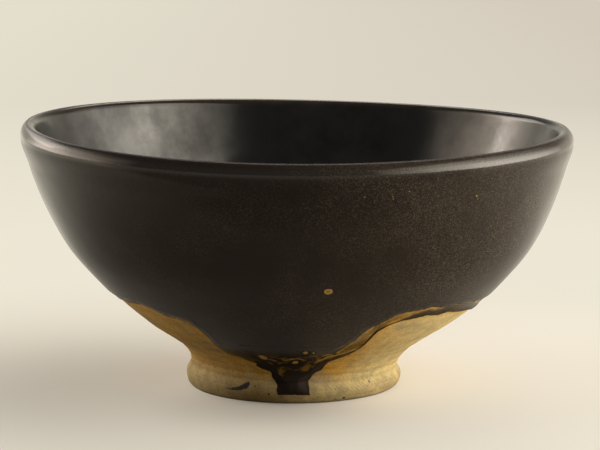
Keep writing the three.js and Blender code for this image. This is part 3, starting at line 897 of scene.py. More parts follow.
def build_clay(surface):
    """The clay on one closed grid, from the middle of the floor over the lip and down to the recess."""
    line, size = surface.line, surface.size
    inner = inside_line(size)
    direction = np.linspace(-180, 180, CLAY_COLUMNS, endpoint=False)
    fine_top = float(line.station_at(FINE_CLAY_TOP))
    base = float(line.station_at(0.0))
    lip = float(line.station_at(size.rim_height - size.lip_radius))
    fine_rows = round((base - fine_top) / FINE_CLAY_STEP)
    stations = np.concatenate([
        np.linspace(0, lip, CLAY_LIP_ROWS, endpoint=False),
        np.linspace(lip, fine_top, CLAY_WALL_ROWS, endpoint=False),
        np.linspace(fine_top, base, fine_rows, endpoint=False),
        np.linspace(base, line.length, CLAY_BASE_ROWS),
    ])
    inside = np.concatenate([
        np.linspace(0, lip, CLAY_INNER_LIP_ROWS, endpoint=False),
        np.linspace(lip, inner.length, CLAY_INNER_ROWS),
    ])[:0:-1]
    outside = np.repeat(stations[:, None], CLAY_COLUMNS, axis=1)
    turned = np.repeat(direction[None, :], len(stations), axis=0)
    height = line.height(outside)
    relief = clay_relief(surface, outside, turned)
    below = -surface.first_edge.inside(outside, turned)
    flush = table_at(FLUSH_SHARES, turned) * smooth((height - FLUSH_START) / FLUSH_RISE)
    flush = np.maximum(flush, FLUSH_LINE_SHARE * smooth(1 - below / FLUSH_LINE))
    # Darker towards the foot's lower edge, partly soil and partly painted shade, with a painted contact
    # shadow where it stands
    soil_and_shade = table_at(SOIL_AND_SHADE_SHARES, turned) * smooth(SOIL_AND_SHADE_START - height / SOIL_AND_SHADE_HEIGHT)
    soil_and_shade = np.maximum(soil_and_shade, CONTACT_SHADOW * smooth(1 - height / CONTACT_HEIGHT))
    stain = stain_at(surface, outside, turned)
    rows = [placed(size, inner, np.full(CLAY_COLUMNS, station), direction, 0) for station in inside]
    rows += [surface.place(outside[i], direction, relief[i]) for i in range(len(stations))]
    hidden = np.zeros((len(inside), CLAY_COLUMNS))
    points, faces, values = closed_rows(rows, False, {
        name: np.vstack([hidden, value])
        for name, value in (("flush", flush), ("stain", stain), ("relief", relief), ("soil_and_shade", soil_and_shade))
    })
    material = bare_stoneware()
    new_piece("turned_clay", points, faces, material, "stoneware_body", values)


def build_liner(size):
    """The coat inside: a coarse face on the clay, and a fine one that pools and wavers."""
    line = inside_line(size)
    direction = np.linspace(-180, 180, LINER_COLUMNS, endpoint=False)
    fine = np.concatenate([
        np.linspace(0, LINER_LIP, LINER_LIP_ROWS, endpoint=False),
        np.linspace(LINER_LIP, line.length, LINER_ROWS),
    ])
    coarse = np.concatenate([
        np.linspace(0, LINER_LIP, LINER_BACK_LIP_ROWS, endpoint=False),
        np.linspace(LINER_LIP, line.length, LINER_BACK_ROWS),
    ])
    rows, film = [], []
    for station in coarse[::-1]:
        rows.append(placed(size, line, np.full(LINER_COLUMNS, station), direction, 0))
        film.append(np.ones(LINER_COLUMNS))
    for station in fine:
        down = np.full(LINER_COLUMNS, station)
        even = level_points(line, down, direction)
        radius = line.radius(station)
        coat = mixed(CREST_COAT, size.liner_coat, smooth(station / CREST_FADE))
        pool = (POOL_COAT - size.liner_coat) * smooth(1 - radius / POOL_RADIUS)
        ring = 2 * math.pi * station / LINER_RING_PITCH + unevenness(even, LINER_RING_WANDER)
        uneven = unevenness(even, LINER_UNEVENNESS) + LINER_RING_HEIGHT * np.sin(ring)
        fade = smooth(station / LINER_EVEN_CREST) * smooth(radius / LINER_EVEN_MIDDLE)
        rows.append(placed(size, line, down, direction, coat + pool + uneven * fade))
        thick = smooth(station / LINER_FILM_FADE + unevenness(even, LINER_FILM_WANDER))
        film.append(mixed(LINER_CREST_FILM, 1, thick))
    points, faces, values = closed_rows(rows, False, {"film": film})
    new_piece("liner", points, faces, glossy_liner(), "liner_glaze", values)


def first_film(surface, station, direction):
    """How thick the first coat looks where it shows: dark along its bead and amber in the strip above."""
    inside = surface.first_edge.inside(station, direction)
    above = surface.second_edge.inside(station, direction)
    even = level_points(surface.line, station, direction)
    width = table_at(BEAD_WIDTHS, direction) * (1 + unevenness(even, BEAD_WIDTH_WAVER))
    dark = table_at(BEAD_SHARES, direction) * smooth((width - inside) / BEAD_FADE)
    gold = np.zeros(np.shape(inside))
    beside_bead, below_edge = inside - width - BEAD_LINE_GAP, above + EDGE_LINE_GAP
    for away, waver in ((beside_bead, BEAD_LINE_WAVER), (below_edge, EDGE_LINE_WAVER)):
        line = np.exp(-(away / GOLD_LINE_WIDTH) ** 2)
        gold = np.maximum(gold, line * (GOLD_LINE_STRENGTH + unevenness(even, waver)))
    strip = STRIP_FILM + unevenness(even, STRIP_WAVER)
    strip = mixed(strip, GOLD_LINE_FILM, np.clip(gold, 0, 1))
    return np.clip(mixed(strip, table_at(BEAD_FILMS, direction), dark), 0, 1)


def second_film(surface, station, direction):
    """How thick the second coat looks: thin and brown in a line along its lower edge."""
    inside = surface.second_edge.inside(station, direction)
    ragged = unevenness(level_points(surface.line, station, direction), SECOND_FILM_WAVER)
    return mixed(SECOND_EDGE_FILM, SECOND_FILM, smooth((inside + ragged) / SECOND_EDGE_LINE))


def build_coat(name, node, surface, edge, wall_step, under, over, film, satin):
    """A closed shell between two depths, from the lip's crest to a coat's edge."""
    direction = coat_directions()
    end = edge.at(direction)
    above_edge = np.array(ROWS_ABOVE_EDGE)
    wall_rows = round((float(end.mean()) - above_edge[0] - COAT_LIP) / wall_step)
    lip = np.linspace(0, COAT_LIP, COAT_LIP_ROWS, endpoint=False)
    shares = np.linspace(0, 1, wall_rows, endpoint=False)
    stations = np.array([
        *(np.full(len(direction), station) for station in lip),
        *(mixed(COAT_LIP, end - above_edge[0], share) for share in shares),
        *(end - height for height in above_edge),
    ])
    turned = np.repeat(direction[None, :], len(stations), axis=0)
    upper, lower = over(stations, turned), under(stations, turned)
    back = {
        *BACK_LIP_ROWS, *range(COAT_LIP_ROWS - 1, COAT_LIP_ROWS + wall_rows, BACK_WALL_STEP),
        *(len(stations) - k for k in BACK_EDGE_ROWS),
    }
    # Where the coat has no thickness, as the second has at the crest, its back and its face share a row
    back = [row for row in sorted(back, reverse=True) if (upper[row] > lower[row]).any()]
    rows = [surface.place(stations[i], direction, upper[i]) for i in range(len(stations))]
    rows += [surface.place(stations[i], direction, lower[i]) for i in back]
    from_edge = smooth(edge.inside(stations, turned) / EDGE_SHINE_REACH)
    looks = {
        "film": film(surface, stations, turned),
        "satin": satin(stations),
        "shine": mixed(EDGE_SHINE, shine_at(stations), from_edge),
    }
    points, faces, values = closed_rows(rows, True, {
        look: np.vstack([value, value[back]]) for look, value in looks.items()
    })
    new_piece(name, points, faces, outer_glaze(), node, values)


def shine_at(station):
    """How strongly the coats mirror: weakly over the crest, strongly on the lip's face, weakly below."""
    face = smooth((station - LIP_FACE_START) / LIP_FACE_RISE)
    wall = smooth((station - LIP_FACE_END) / LIP_FACE_FADE)
    return mixed(mixed(CREST_SHINE, LIP_SHINE, face), WALL_SHINE, wall)


def satin_at(station):
    """The second coat is satin on the wall and less so where it is stretched over the lip."""
    return mixed(LIP_SATIN, 1, smooth((station - SATIN_START) / SATIN_RISE))


def build_first_dip(surface):
    build_coat(
        "first_dip", "first_dip_glaze", surface, surface.first_edge, FIRST_WALL_STEP,
        surface.bare_depth, surface.first_depth, first_film, np.zeros_like,
    )


def build_second_dip(surface):
    build_coat(
        "second_dip", "second_dip_glaze", surface, surface.second_edge, SECOND_WALL_STEP,
        surface.first_depth, surface.both_depths, second_film, satin_at,
    )


def distance_to_stroke(across, up, stroke):
    """Distance beyond a stroke's edge, where each point of the stroke also says its half width."""
    nearest = np.full(np.shape(across), np.inf)
    for (x, y, wide), (x_end, y_end, wide_end) in zip(stroke, stroke[1:]):
        run, rise = x_end - x, y_end - y
        share = np.clip(((across - x) * run + (up - y) * rise) / (run * run + rise * rise), 0, 1)
        gap = np.hypot(across - x - share * run, up - y - share * rise)
        nearest = np.minimum(nearest, gap - mixed(wide, wide_end, share))
    return nearest


def distance_to_outline(across, up, outline):
    """Distance to a closed outline, and negative inside it."""
    nearest = np.full(np.shape(across), np.inf)
    inside = np.zeros(np.shape(across), bool)
    for (x, y), (x_end, y_end) in zip(outline, outline[1:] + outline[:1]):
        run, rise = x_end - x, y_end - y
        share = np.clip(((across - x) * run + (up - y) * rise) / (run * run + rise * rise), 0, 1)
        nearest = np.minimum(nearest, np.hypot(across - x - share * run, up - y - share * rise))
        crosses = (y > up) != (y_end > up)
        at = x + (up - y) * run / (rise if rise else 1)
        inside ^= crosses & (across < at)
    return np.where(inside, -nearest, nearest)


def distance_to_spot(across, up, spot):
    """Distance beyond an oval spot's edge, roughly in millimetres."""
    x, y, half_length, half_height, slope = spot
    turn = math.radians(slope)
    along = (across - x) * math.cos(turn) + (up - y) * math.sin(turn)
    over = -(across - x) * math.sin(turn) + (up - y) * math.cos(turn)
    return (np.hypot(along / half_length, over / half_height) - 1) * min(half_length, half_height)


def within(distance, softness):
    """1 inside a shape and 0 outside, with a soft edge this wide."""
    return smooth(0.5 - distance / softness)


def run_film(across, up, under):
    """How thick the run's glaze looks at places seen from the front, up to BLACK_FILM where it pooled."""
    spot = np.stack([across, np.full(np.shape(across), RUN_PLANE), up], axis=-1)
    up = up - LACE_LIFT * smooth((up - LIFT_START) / LIFT_RISE)
    across = across + unevenness(spot, ACROSS_WAVER)
    up = up + unevenness(spot, UP_WAVER)
    mottle = unevenness(spot, MOTTLE)
    film = under + mottle * smooth((LACE_TOP - up) / MOTTLE_FADE)
    olive = distance_to_outline(across, up, OLIVE_OUTLINE)
    film = mixed(film, OLIVE_FILM + mottle, within(olive, OLIVE_SOFTNESS))
    body = distance_to_outline(across, up, BODY_OUTLINE)
    film = mixed(film, BLACK_FILM, within(body, BODY_SOFTNESS))
    for table, distance_to in ((RUN_STROKES, distance_to_stroke), (RUN_SPOTS, distance_to_spot)):
        for level, shapes in table:
            for shape in shapes:
                film = mixed(film, level, within(distance_to(across, up, shape), STROKE_SOFTNESS))
    return film


def sheet_faces(number):
    """Two triangles for each cell of a grid of numbered corners, none with all three on the grid's rim."""
    a, b = number[:-1, :-1], number[:-1, 1:]
    c, d = number[1:, 1:], number[1:, :-1]
    rows, columns = a.shape
    row, column = np.indices(a.shape)
    other = (row < rows // 2) != (column < columns // 2)
    first = np.where(other[..., None], np.stack([a, d, b], axis=-1), np.stack([a, d, c], axis=-1))
    second = np.where(other[..., None], np.stack([b, d, c], axis=-1), np.stack([a, c, b], axis=-1))
    return np.vstack([first.reshape(-1, 3), second.reshape(-1, 3)])


def build_run(surface):
    """The run and the lace of thick and thin glaze above it, on a fine grid between its two sides."""
    size, line = surface.size, surface.line
    level = np.linspace(RUN_TOP, RUN_FOOT, RUN_ROWS)
    upright = np.stack([np.zeros_like(level), np.zeros_like(level), level], axis=-1)
    left, right = (
        (np.interp(level, *np.transpose(edge)) + unevenness(upright, waver))[:, None]
        for edge, waver in ((RUN_LEFT_EDGE, RUN_LEFT_WAVER), (RUN_RIGHT_EDGE, RUN_RIGHT_WAVER))
    )
    across = mixed(left, right, np.linspace(0, 1, RUN_COLUMNS)[None, :])
    droop = RUN_DROOP * np.sin(across * RUN_DROOP_TURN + RUN_DROOP_START)
    droop = droop + unevenness(np.stack([across] * 3, axis=-1), RUN_DROOP_WAVER)
    up = np.repeat(level[:, None], RUN_COLUMNS, axis=1)
    up = up + droop * smooth((RUN_FOOT + RUN_DROOP_REACH - up) / RUN_DROOP_REACH)
    station = line.station_at(up)
    direction = FRONT + np.degrees(np.arcsin(np.clip(across / line.radius(station), -1, 1)))

    # The glaze that it runs over, and how that looks
    below = surface.both_depths(station, direction) + clay_relief(surface, station, direction)
    second_inside = surface.second_edge.inside(station, direction)
    covered = smooth(second_inside / COVER_BLEND)
    first_look = first_film(surface, station, direction)
    under = mixed(first_look, second_film(surface, station, direction), covered)

    # Its own look, which takes over from the other's away from its rim
    to_side = np.minimum(across - left, right - across)
    to_top = RUN_TOP - up
    to_foot = up - up[-1:]
    on_glaze = smooth(second_inside / GLAZE_BLEND)
    from_rim = smooth((np.minimum(to_side, to_top) - RUN_BLEND_START) / RUN_BLEND)
    shown = mixed(1, from_rim, on_glaze)
    film = mixed(under, run_film(across, up, under), shown)
    satin = on_glaze * smooth((up - RUN_SATIN_START) / RUN_SATIN_RISE)
    satin = satin * smooth((film - SATIN_FILM) / SATIN_FILM_RISE)
    satin = satin * smooth((POOLED_FILM - film) / POOLED_FILM_FADE)
    satin = mixed(satin_at(station) * covered, satin, shown)

    # Its face, over the glaze below and down to it at the rim
    thick = mixed(LACE_THICKNESS, size.run_thickness, smooth((LACE_FOOT - up) / LACE_RISE))
    thick = thick + NECK_POOL * np.exp(-((up - size.foot_height) / NECK_POOL_REACH) ** 2)
    relief = np.minimum(film, RUN_RELIEF_FILM) - RUN_EVEN_FILM
    thick = thick + RUN_RELIEF * relief * smooth((LACE_TOP - up) / RUN_RELIEF_FADE)
    fade = smooth(to_side / RUN_SIDE_FADE) * smooth(to_foot / RUN_FOOT_FADE) * smooth(to_top / RUN_TOP_FADE)
    top = below + np.maximum(thick - below, LEAST_RUN) * fade
    rim = np.zeros(across.shape, bool)
    rim[[0, -1], :] = True
    rim[:, [0, -1]] = True
    top_points = surface.place(station, direction, top + RUN_GAP)
    under_points = surface.place(station, direction, below + RUN_GAP)
    top_points[rim] = under_points[rim]
    number = np.arange(across.size).reshape(across.shape)
    back_number = number.copy()
    back_number[~rim] = across.size + np.arange((~rim).sum())
    points = np.vstack([top_points.reshape(-1, 3), under_points[~rim]])
    faces = np.vstack([sheet_faces(number), sheet_faces(back_number)[:, ::-1]])
    looks = {"film": film, "satin": satin, "shine": mixed(RUN_SHINE, WALL_SHINE, satin)}
    values = {look: np.concatenate([value.ravel(), value[~rim]]) for look, value in looks.items()}
    new_piece("run", points, faces, outer_glaze(), "glaze_run", values)


# Sockets of a colour Mix node, which shares its names between several kinds of value
MIX_FACTOR, MIX_A, MIX_B, MIX_RESULT = 0, 6, 7, 2

# Fine skins of clay and glaze stand out this much
BUMP_DEPTH = 0.05
# Noises in the clay, as size in millimetres, detail and roughness: patches that fired greyer, patches of
# flush, grit, and the dry skin
CLAY_NOISES = ((8, 4, 0.5), (3.5, 5, 0.6), (0.5, 3, 0.6), (0.3, 4, 0.7))
PINHOLE_SPACING = 1.1
CLAY_ROUGHNESS = 0.82
CLAY_IOR = 1.45
# Noises in the liner: its orange peel, and the clouds in its gloss
LINER_NOISES = ((2.6, 1, 0.5), (11, 4, 0.65))
# Noises in the outer glaze: its streaks, the clouds of specks, and its orange peel
STREAKS, SPECK_CLOUDS, PEEL = (0.9, 3, 0.6), (14, 3, 0.5), (1.3, 2, 0.5)
# How much the streaks vary the film and the roughness
STREAK_SHARE = 0.4
STREAK_ROUGHNESS = 0.06
GLAZE_IOR = 1.5
# Real crystals are a few hundredths of a millimetre across.  They are drawn as coarse as they need to show.
CRYSTAL_SIZE = 0.15
CRYSTAL_POWER = 5
# The specks get more frequent from left to right, towards the lamps: a painted glint of the crystals on the
# lit side
SPECK_GLINT_START, SPECK_GLINT_END = -30, 40
FLECK_WAVER_SIZE = 0.8


def add_node(tree, kind, settings=None, links=None, stops=()):
    """Adds a node with its settings, the values or links of its sockets, and the colours of a ramp."""
    node = tree.nodes.new(kind)
    for name, value in (settings or {}).items():
        setattr(node, name, value)
    for socket, value in (links or {}).items():
        if isinstance(value, bpy.types.NodeSocket):
            tree.links.new(value, node.inputs[socket])
        else:
            node.inputs[socket].default_value = value
    for index, (place, shade) in enumerate(stops):
        elements = node.color_ramp.elements
        spot = elements[index] if index < 2 else elements.new(place)
        spot.position = place
        spot.color = rgba(shade)
    return node


def new_material(name):
    """A material with a Principled surface: itself, its node tree, the surface, and places on the object."""
    material = bpy.data.materials.new(name)
    material.use_nodes = True
    tree = material.node_tree
    tree.nodes.clear()
    surface = add_node(tree, "ShaderNodeBsdfPrincipled")
    add_node(tree, "ShaderNodeOutputMaterial", links={"Surface": surface.outputs["BSDF"]})
    return material, tree, surface, add_node(tree, "ShaderNodeTexCoord").outputs["Object"]


def per(millimetres):
    """A texture's scale, from the real size of its features."""
    return 1 / (millimetres * MM)


def bare_stoneware():
    """Buff stoneware, cut with a turning tool when half dry and left bare in the kiln.

    The eye sees a dry, gritty skin, flushed orange beside the glaze, with a few iron spots and smears.
    Painted shade darkens the tool's grooves and the pinholes, and partly darkens the foot's lower edge."""
    colours = bpy.context.scene.tea_bowl_colours
    material, tree, surface, place = new_material("bare_stoneware")
    near_glaze, relief, soil_and_shade, stain = (
        add_node(tree, "ShaderNodeAttribute", {"attribute_name": name}).outputs["Fac"]
        for name in ("flush", "relief", "soil_and_shade", "stain")
    )
    firing, patch, grain, skin = (
        add_node(tree, "ShaderNodeTexNoise", links={
            "Vector": place, "Scale": per(size), "Detail": detail, "Roughness": roughness,
        }).outputs["Fac"]
        for size, detail, roughness in CLAY_NOISES
    )
    pit = add_node(tree, "ShaderNodeTexVoronoi", links={
        "Vector": place, "Scale": per(PINHOLE_SPACING),
    }).outputs["Distance"]
    ragged = add_node(tree, "ShaderNodeMath", {"operation": "MULTIPLY_ADD"}, {
        0: grain, 1: 0.55, 2: stain,
    }).outputs[0]
    uneven, greyed, groove_shade, speckle, pinhole_shade, smear = (
        add_node(tree, "ShaderNodeMapRange", {"interpolation_type": easing}, {
            "Value": value, "From Min": low, "From Max": high, "To Min": start, "To Max": end,
        }).outputs["Result"]
        for value, easing, (low, high), (start, end) in (
            (patch, "LINEAR", (0.34, 0.62), (0.7, 1.15)),
            (firing, "SMOOTHSTEP", (0.52, 0.68), (0, 0.5)),
            # Painted shade in the tool's grooves and a little painted light on the raised rings, from the
            # relief
            (relief, "LINEAR", (-0.06, 0.02), (0.72, 1.05)),
            (grain, "LINEAR", (0.3, 0.7), (0.78, 1.18)),
            # Pinholes, painted dark in the stain colour as painted shade
            (pit, "LINEAR", (0.08, 0.17), (0.55, 0)),
            (ragged, "SMOOTHSTEP", (0.5, 0.82), (0, 0.96)),
        )
    )
    flush = add_node(tree, "ShaderNodeMath", {"operation": "MULTIPLY", "use_clamp": True}, {
        0: near_glaze, 1: uneven,
    }).outputs[0]
    shade = rgba(colours.clay)
    for blending, factor, over in (
        ("MIX", flush, rgba(colours.flushed_clay)), ("MIX", greyed, rgba(colours.grey_clay)),
        # The foot's lower edge is darkened here, partly as soil and partly as painted shade
        ("MULTIPLY", 1.0, groove_shade), ("MULTIPLY", 1.0, speckle), ("MULTIPLY", soil_and_shade, rgba(colours.soil_and_shade)),
        ("MIX", pinhole_shade, rgba(colours.stain)), ("MIX", smear, rgba(colours.stain)),
    ):
        shade = add_node(tree, "ShaderNodeMix", {"data_type": "RGBA", "blend_type": blending}, {
            MIX_FACTOR: factor, MIX_A: shade, MIX_B: over,
        }).outputs[MIX_RESULT]
    bump = add_node(tree, "ShaderNodeBump", links={
        "Strength": 0.5, "Distance": BUMP_DEPTH * MM, "Height": skin,
    }).outputs["Normal"]
    tree.links.new(shade, surface.inputs["Base Color"])
    tree.links.new(bump, surface.inputs["Normal"])
    surface.inputs["Roughness"].default_value = CLAY_ROUGHNESS
    surface.inputs["IOR"].default_value = CLAY_IOR
    return material


def glossy_liner():
    """Black iron glaze poured inside and melted thick, brown only where it thins over the lip's crest.

    The eye sees wet depth: reflections that waver a little and are clouded here and there."""
    colours = bpy.context.scene.tea_bowl_colours
    material, tree, surface, place = new_material("liner_glaze")
    film = add_node(tree, "ShaderNodeAttribute", {"attribute_name": "film"}).outputs["Fac"]
    shade = add_node(tree, "ShaderNodeValToRGB", links={"Fac": film}, stops=(
        (0.0, colours.amber), (0.55, colours.olive), (1.0, colours.liner_black),
    )).outputs["Color"]
    peel, clouds = (
        add_node(tree, "ShaderNodeTexNoise", links={
            "Vector": place, "Scale": per(size), "Detail": detail, "Roughness": roughness,
        }).outputs["Fac"]
        for size, detail, roughness in LINER_NOISES
    )
    bump = add_node(tree, "ShaderNodeBump", links={
        "Strength": 0.12, "Distance": BUMP_DEPTH * MM, "Height": peel,
    }).outputs["Normal"]
    tree.links.new(shade, surface.inputs["Base Color"])
    tree.links.new(bump, surface.inputs["Normal"])
    for socket, clear, clouded in (("Specular IOR Level", 0.68, 0.38), ("Roughness", 0.12, 0.24)):
        level = add_node(tree, "ShaderNodeMapRange", links={
            "Value": clouds, "From Min": 0.35, "From Max": 0.65, "To Min": clear, "To Max": clouded,
        }).outputs["Result"]
        tree.links.new(level, surface.inputs[socket])
    surface.inputs["Specular Tint"].default_value = LINER_MIRROR_TINT
    surface.inputs["IOR"].default_value = GLAZE_IOR
    return material


def fleck_places(size):
    """Where the larger flecks lie on the second coat, and their radii, in metres."""
    line = outside_line(size)
    depth = size.first_coat + size.second_coat - FLECK_WAVER / 2
    return [
        (Vector(placed(size, line, float(line.station_at(height)), direction, depth)) * MM, radius * MM)
        for direction, height, radius in FLECKS
    ]


def satin_shade(tree, place):
    """The second coat's colour where it lies even: black with fine tan crystals, painted more frequent
    towards the lit right side as a glint, and a few larger flecks.
    """
    colours = bpy.context.scene.tea_bowl_colours
    crystals = add_node(tree, "ShaderNodeTexVoronoi", links={"Vector": place, "Scale": per(CRYSTAL_SIZE)})
    brightness = add_node(tree, "ShaderNodeSeparateColor", links={
        "Color": crystals.outputs["Color"],
    }).outputs["Blue"]
    bright = add_node(tree, "ShaderNodeMath", {"operation": "POWER"}, {
        0: brightness, 1: CRYSTAL_POWER,
    }).outputs[0]
    size, detail, roughness = SPECK_CLOUDS
    clouds = add_node(tree, "ShaderNodeTexNoise", links={
        "Vector": place, "Scale": per(size), "Detail": detail, "Roughness": roughness,
    }).outputs["Fac"]
    # More specks towards the right, where the light falls: painted glint
    across = add_node(tree, "ShaderNodeSeparateXYZ", links={"Vector": place}).outputs["X"]
    rightwards = add_node(tree, "ShaderNodeMapRange", {"interpolation_type": "SMOOTHSTEP"}, {
        "Value": across, "From Min": SPECK_GLINT_START * MM, "From Max": SPECK_GLINT_END * MM,
        "To Min": -0.28, "To Max": 0.05,
    }).outputs["Result"]
    frequent = add_node(tree, "ShaderNodeMath", {"operation": "ADD"}, {0: clouds, 1: rightwards}).outputs[0]
    share = add_node(tree, "ShaderNodeMapRange", links={
        "Value": frequent, "From Min": 0.2, "From Max": 0.6, "To Min": 0.01, "To Max": 0.24,
    }).outputs["Result"]
    specks = add_node(tree, "ShaderNodeMath", {"operation": "MULTIPLY"}, {0: bright, 1: share}).outputs[0]
    shade = add_node(tree, "ShaderNodeMix", {"data_type": "RGBA"}, {
        MIX_FACTOR: specks, MIX_A: rgba(colours.satin_black), MIX_B: rgba(colours.speck),
    }).outputs[MIX_RESULT]
    waver = add_node(tree, "ShaderNodeTexNoise", links={
        "Vector": place, "Scale": per(FLECK_WAVER_SIZE),
    }).outputs["Color"]
    wavering = add_node(tree, "ShaderNodeVectorMath", {"operation": "MULTIPLY_ADD"}, {
        0: waver, 1: (FLECK_WAVER * MM,) * 3, 2: place,
    }).outputs[0]
    for middle, radius in fleck_places(sizes()):
        large = radius > LARGE_FLECK * MM
        away = add_node(tree, "ShaderNodeVectorMath", {"operation": "DISTANCE"}, {
            0: wavering, 1: middle,
        }).outputs["Value"]
        ring, shown = (
            add_node(tree, "ShaderNodeMapRange", links={
                "Value": away, "From Min": radius * inner, "From Max": radius * outer,
                "To Min": start, "To Max": 1 - start,
            }).outputs["Result"]
            for (inner, outer), start in ((FLECK_RING, 0), (FLECK_RIM, 1))
        )
        tone = add_node(tree, "ShaderNodeMix", {"data_type": "RGBA"}, {
            MIX_FACTOR: ring, MIX_A: rgba(colours.spot if large else colours.fleck),
            MIX_B: rgba(colours.gold if large else colours.fleck),
        }).outputs[MIX_RESULT]
        shade = add_node(tree, "ShaderNodeMix", {"data_type": "RGBA"}, {
            MIX_FACTOR: shown, MIX_A: shade, MIX_B: tone,
        }).outputs[MIX_RESULT]
    return shade


def outer_glaze():
    """Iron glaze dipped on twice and melted: clear amber where thin, black and glossy where it pooled.

    The eye sees satin with fine tan crystals where the second coat lies even on the wall."""
    found = bpy.data.materials.get("outer_glaze")
    if found:
        return found
    colours = bpy.context.scene.tea_bowl_colours
    material, tree, surface, place = new_material("outer_glaze")
    film, satin, shine = (
        add_node(tree, "ShaderNodeAttribute", {"attribute_name": name}).outputs["Fac"]
        for name in ("film", "satin", "shine")
    )
    streaks, peel = (
        add_node(tree, "ShaderNodeTexNoise", links={
            "Vector": place, "Scale": per(size), "Detail": detail, "Roughness": roughness,
        }).outputs["Fac"]
        for size, detail, roughness in (STREAKS, PEEL)
    )
    raised = add_node(tree, "ShaderNodeMath", {"operation": "MULTIPLY_ADD"}, {
        0: streaks, 1: STREAK_SHARE, 2: film,
    }).outputs[0]
    varied = add_node(tree, "ShaderNodeMath", {"operation": "SUBTRACT"}, {
        0: raised, 1: STREAK_SHARE / 2,
    }).outputs[0]
    through = add_node(tree, "ShaderNodeValToRGB", links={"Fac": varied}, stops=(
        (0.0, colours.gold), (0.22, colours.amber), (0.45, colours.olive), (0.76, colours.deep_brown),
        (0.97, colours.run_black),
    )).outputs["Color"]
    thick = add_node(tree, "ShaderNodeMapRange", {"interpolation_type": "SMOOTHSTEP"}, {
        "Value": varied, "From Min": 0.72, "From Max": 0.95,
    }).outputs["Result"]
    cover = add_node(tree, "ShaderNodeMath", {"operation": "MULTIPLY"}, {0: satin, 1: thick}).outputs[0]
    shade = add_node(tree, "ShaderNodeMix", {"data_type": "RGBA"}, {
        MIX_FACTOR: cover, MIX_A: through, MIX_B: satin_shade(tree, place),
    }).outputs[MIX_RESULT]
    smoother = add_node(tree, "ShaderNodeMapRange", links={
        "Value": shine, "From Min": 0.0, "From Max": LIP_SHINE, "To Min": 0.22, "To Max": 0.11,
    }).outputs["Result"]
    gloss = add_node(tree, "ShaderNodeMath", {"operation": "MULTIPLY_ADD"}, {
        0: streaks, 1: STREAK_ROUGHNESS, 2: smoother,
    }).outputs[0]
    bump = add_node(tree, "ShaderNodeBump", links={
        "Strength": 0.25, "Distance": BUMP_DEPTH * MM, "Height": peel,
    }).outputs["Normal"]
    on_lip = add_node(tree, "ShaderNodeMapRange", links={
        "Value": shine, "From Min": WALL_SHINE, "From Max": LIP_SHINE,
    }).outputs["Result"]
    tint = add_node(tree, "ShaderNodeMix", {"data_type": "RGBA"}, {
        MIX_FACTOR: on_lip, MIX_A: WALL_MIRROR_TINT, MIX_B: LIP_MIRROR_TINT,
    }).outputs[MIX_RESULT]
    for socket, value in (
        ("Base Color", shade), ("Roughness", gloss), ("Normal", bump), ("Specular IOR Level", shine),
        ("Specular Tint", tint),
    ):
        tree.links.new(value, surface.inputs[socket])
    surface.inputs["IOR"].default_value = GLAZE_IOR
    return material


# The camera stands in front, looks down a little and frames the bowl as the photograph does
CAMERA_PLACE = (0.689, -558.4, 119.83)
CAMERA_PITCH = 8.363
LENS = 143.03
SENSOR = 36

# Soft panels that face the bowl.  Each says its azimuth, its distance out, the height of its middle, its
# tilt down, its width and height in metres, its brightness and colour, and how bright it is across and up,
# as shares.
LAMPS = (
    (
        "right_panel", -7, 0.5, 0.315, 0, 1.22, 0.61, 6.5, "#fbf6ec",
        ((0, 0.13), (0.08, 0.18), (0.17, 0.29), (0.33, 0.68), (0.45, 1), (0.51, 1), (0.59, 0.8),
         (0.73, 0.44), (0.86, 0.15), (1, 0.06)),
        ((0, 1), (0.44, 1), (0.5, 0.74), (1, 0.6)),
    ),
    (
        "left_panel", 165, 0.6, 0.33, 0, 0.9, 0.6, 3.95, "#fff0e2",
        ((0, 0.05), (0.14, 0.26), (0.25, 0.72), (0.39, 1), (0.48, 0.88), (0.6, 0.56), (0.78, 0.32),
         (0.93, 0.06), (1, 0.03)),
        ((0, 1), (0.6, 1), (0.78, 0.4), (1, 0.2)),
    ),
    (
        "left_high_panel", 134, 0.5, 0.25, 14, 0.4, 0.16, 3.3, "#fff4ec",
        ((0, 0.3), (0.5, 1), (1, 1)),
        ((0, 1), (1, 1)),
    ),
    (
        "back_panel", 84, 0.9, 0.75, 35, 0.55, 0.3, 3.4, "#fff4ec",
        ((0, 0.2), (0.5, 1), (1, 0.6)),
        ((0, 1), (1, 1)),
    ),
    (
        "top_panel", 48, 0.42, 0.58, 55, 0.6, 0.5, 2.9, "#fff4e4",
        ((0, 0.6), (0.5, 1), (1, 0.6)),
        ((0, 0.7), (1, 1)),
    ),
)
# Lamps that only light, and lamps that are only mirrored
LIGHTING_LAMPS, MIRRORED_LAMPS = ("top_panel",), ("left_high_panel", "back_panel")
# How bright the dim room is when it lights, and when it is mirrored
WORLD_LIGHT = 0.08
WORLD_MIRRORED = 0.17
# The backdrop fades into the dim room above these rises, and towards the front, by a direction's Z and Y
HORIZON_SHARES = (0.14, 0.34)
DIM_SIDE_SHARES = (-0.4, 0.2)
# The floor is a matt board, which goes over into a backdrop that glows plainly
FLOOR_REACH = 3000
FLOOR_DROP = 0.02
FLOOR_ROUGHNESS = 0.9
FLOOR_SHEEN = 0.2
# Further forward than this the floor is there for the eye, gives no light and hardly shows in the glaze
FLOOR_FRONT = 95
FRONT_MIRRORED = 0.3
BACKDROP_START, BACKDROP_END = 60, 165
BACKDROP_FAR_START, BACKDROP_FAR_END = 250, 720
BACKDROP_HALF_WIDTH = 230
# Even close to the bowl this share of what is seen glows
FLOOR_GLOW_SHARE = 0.36
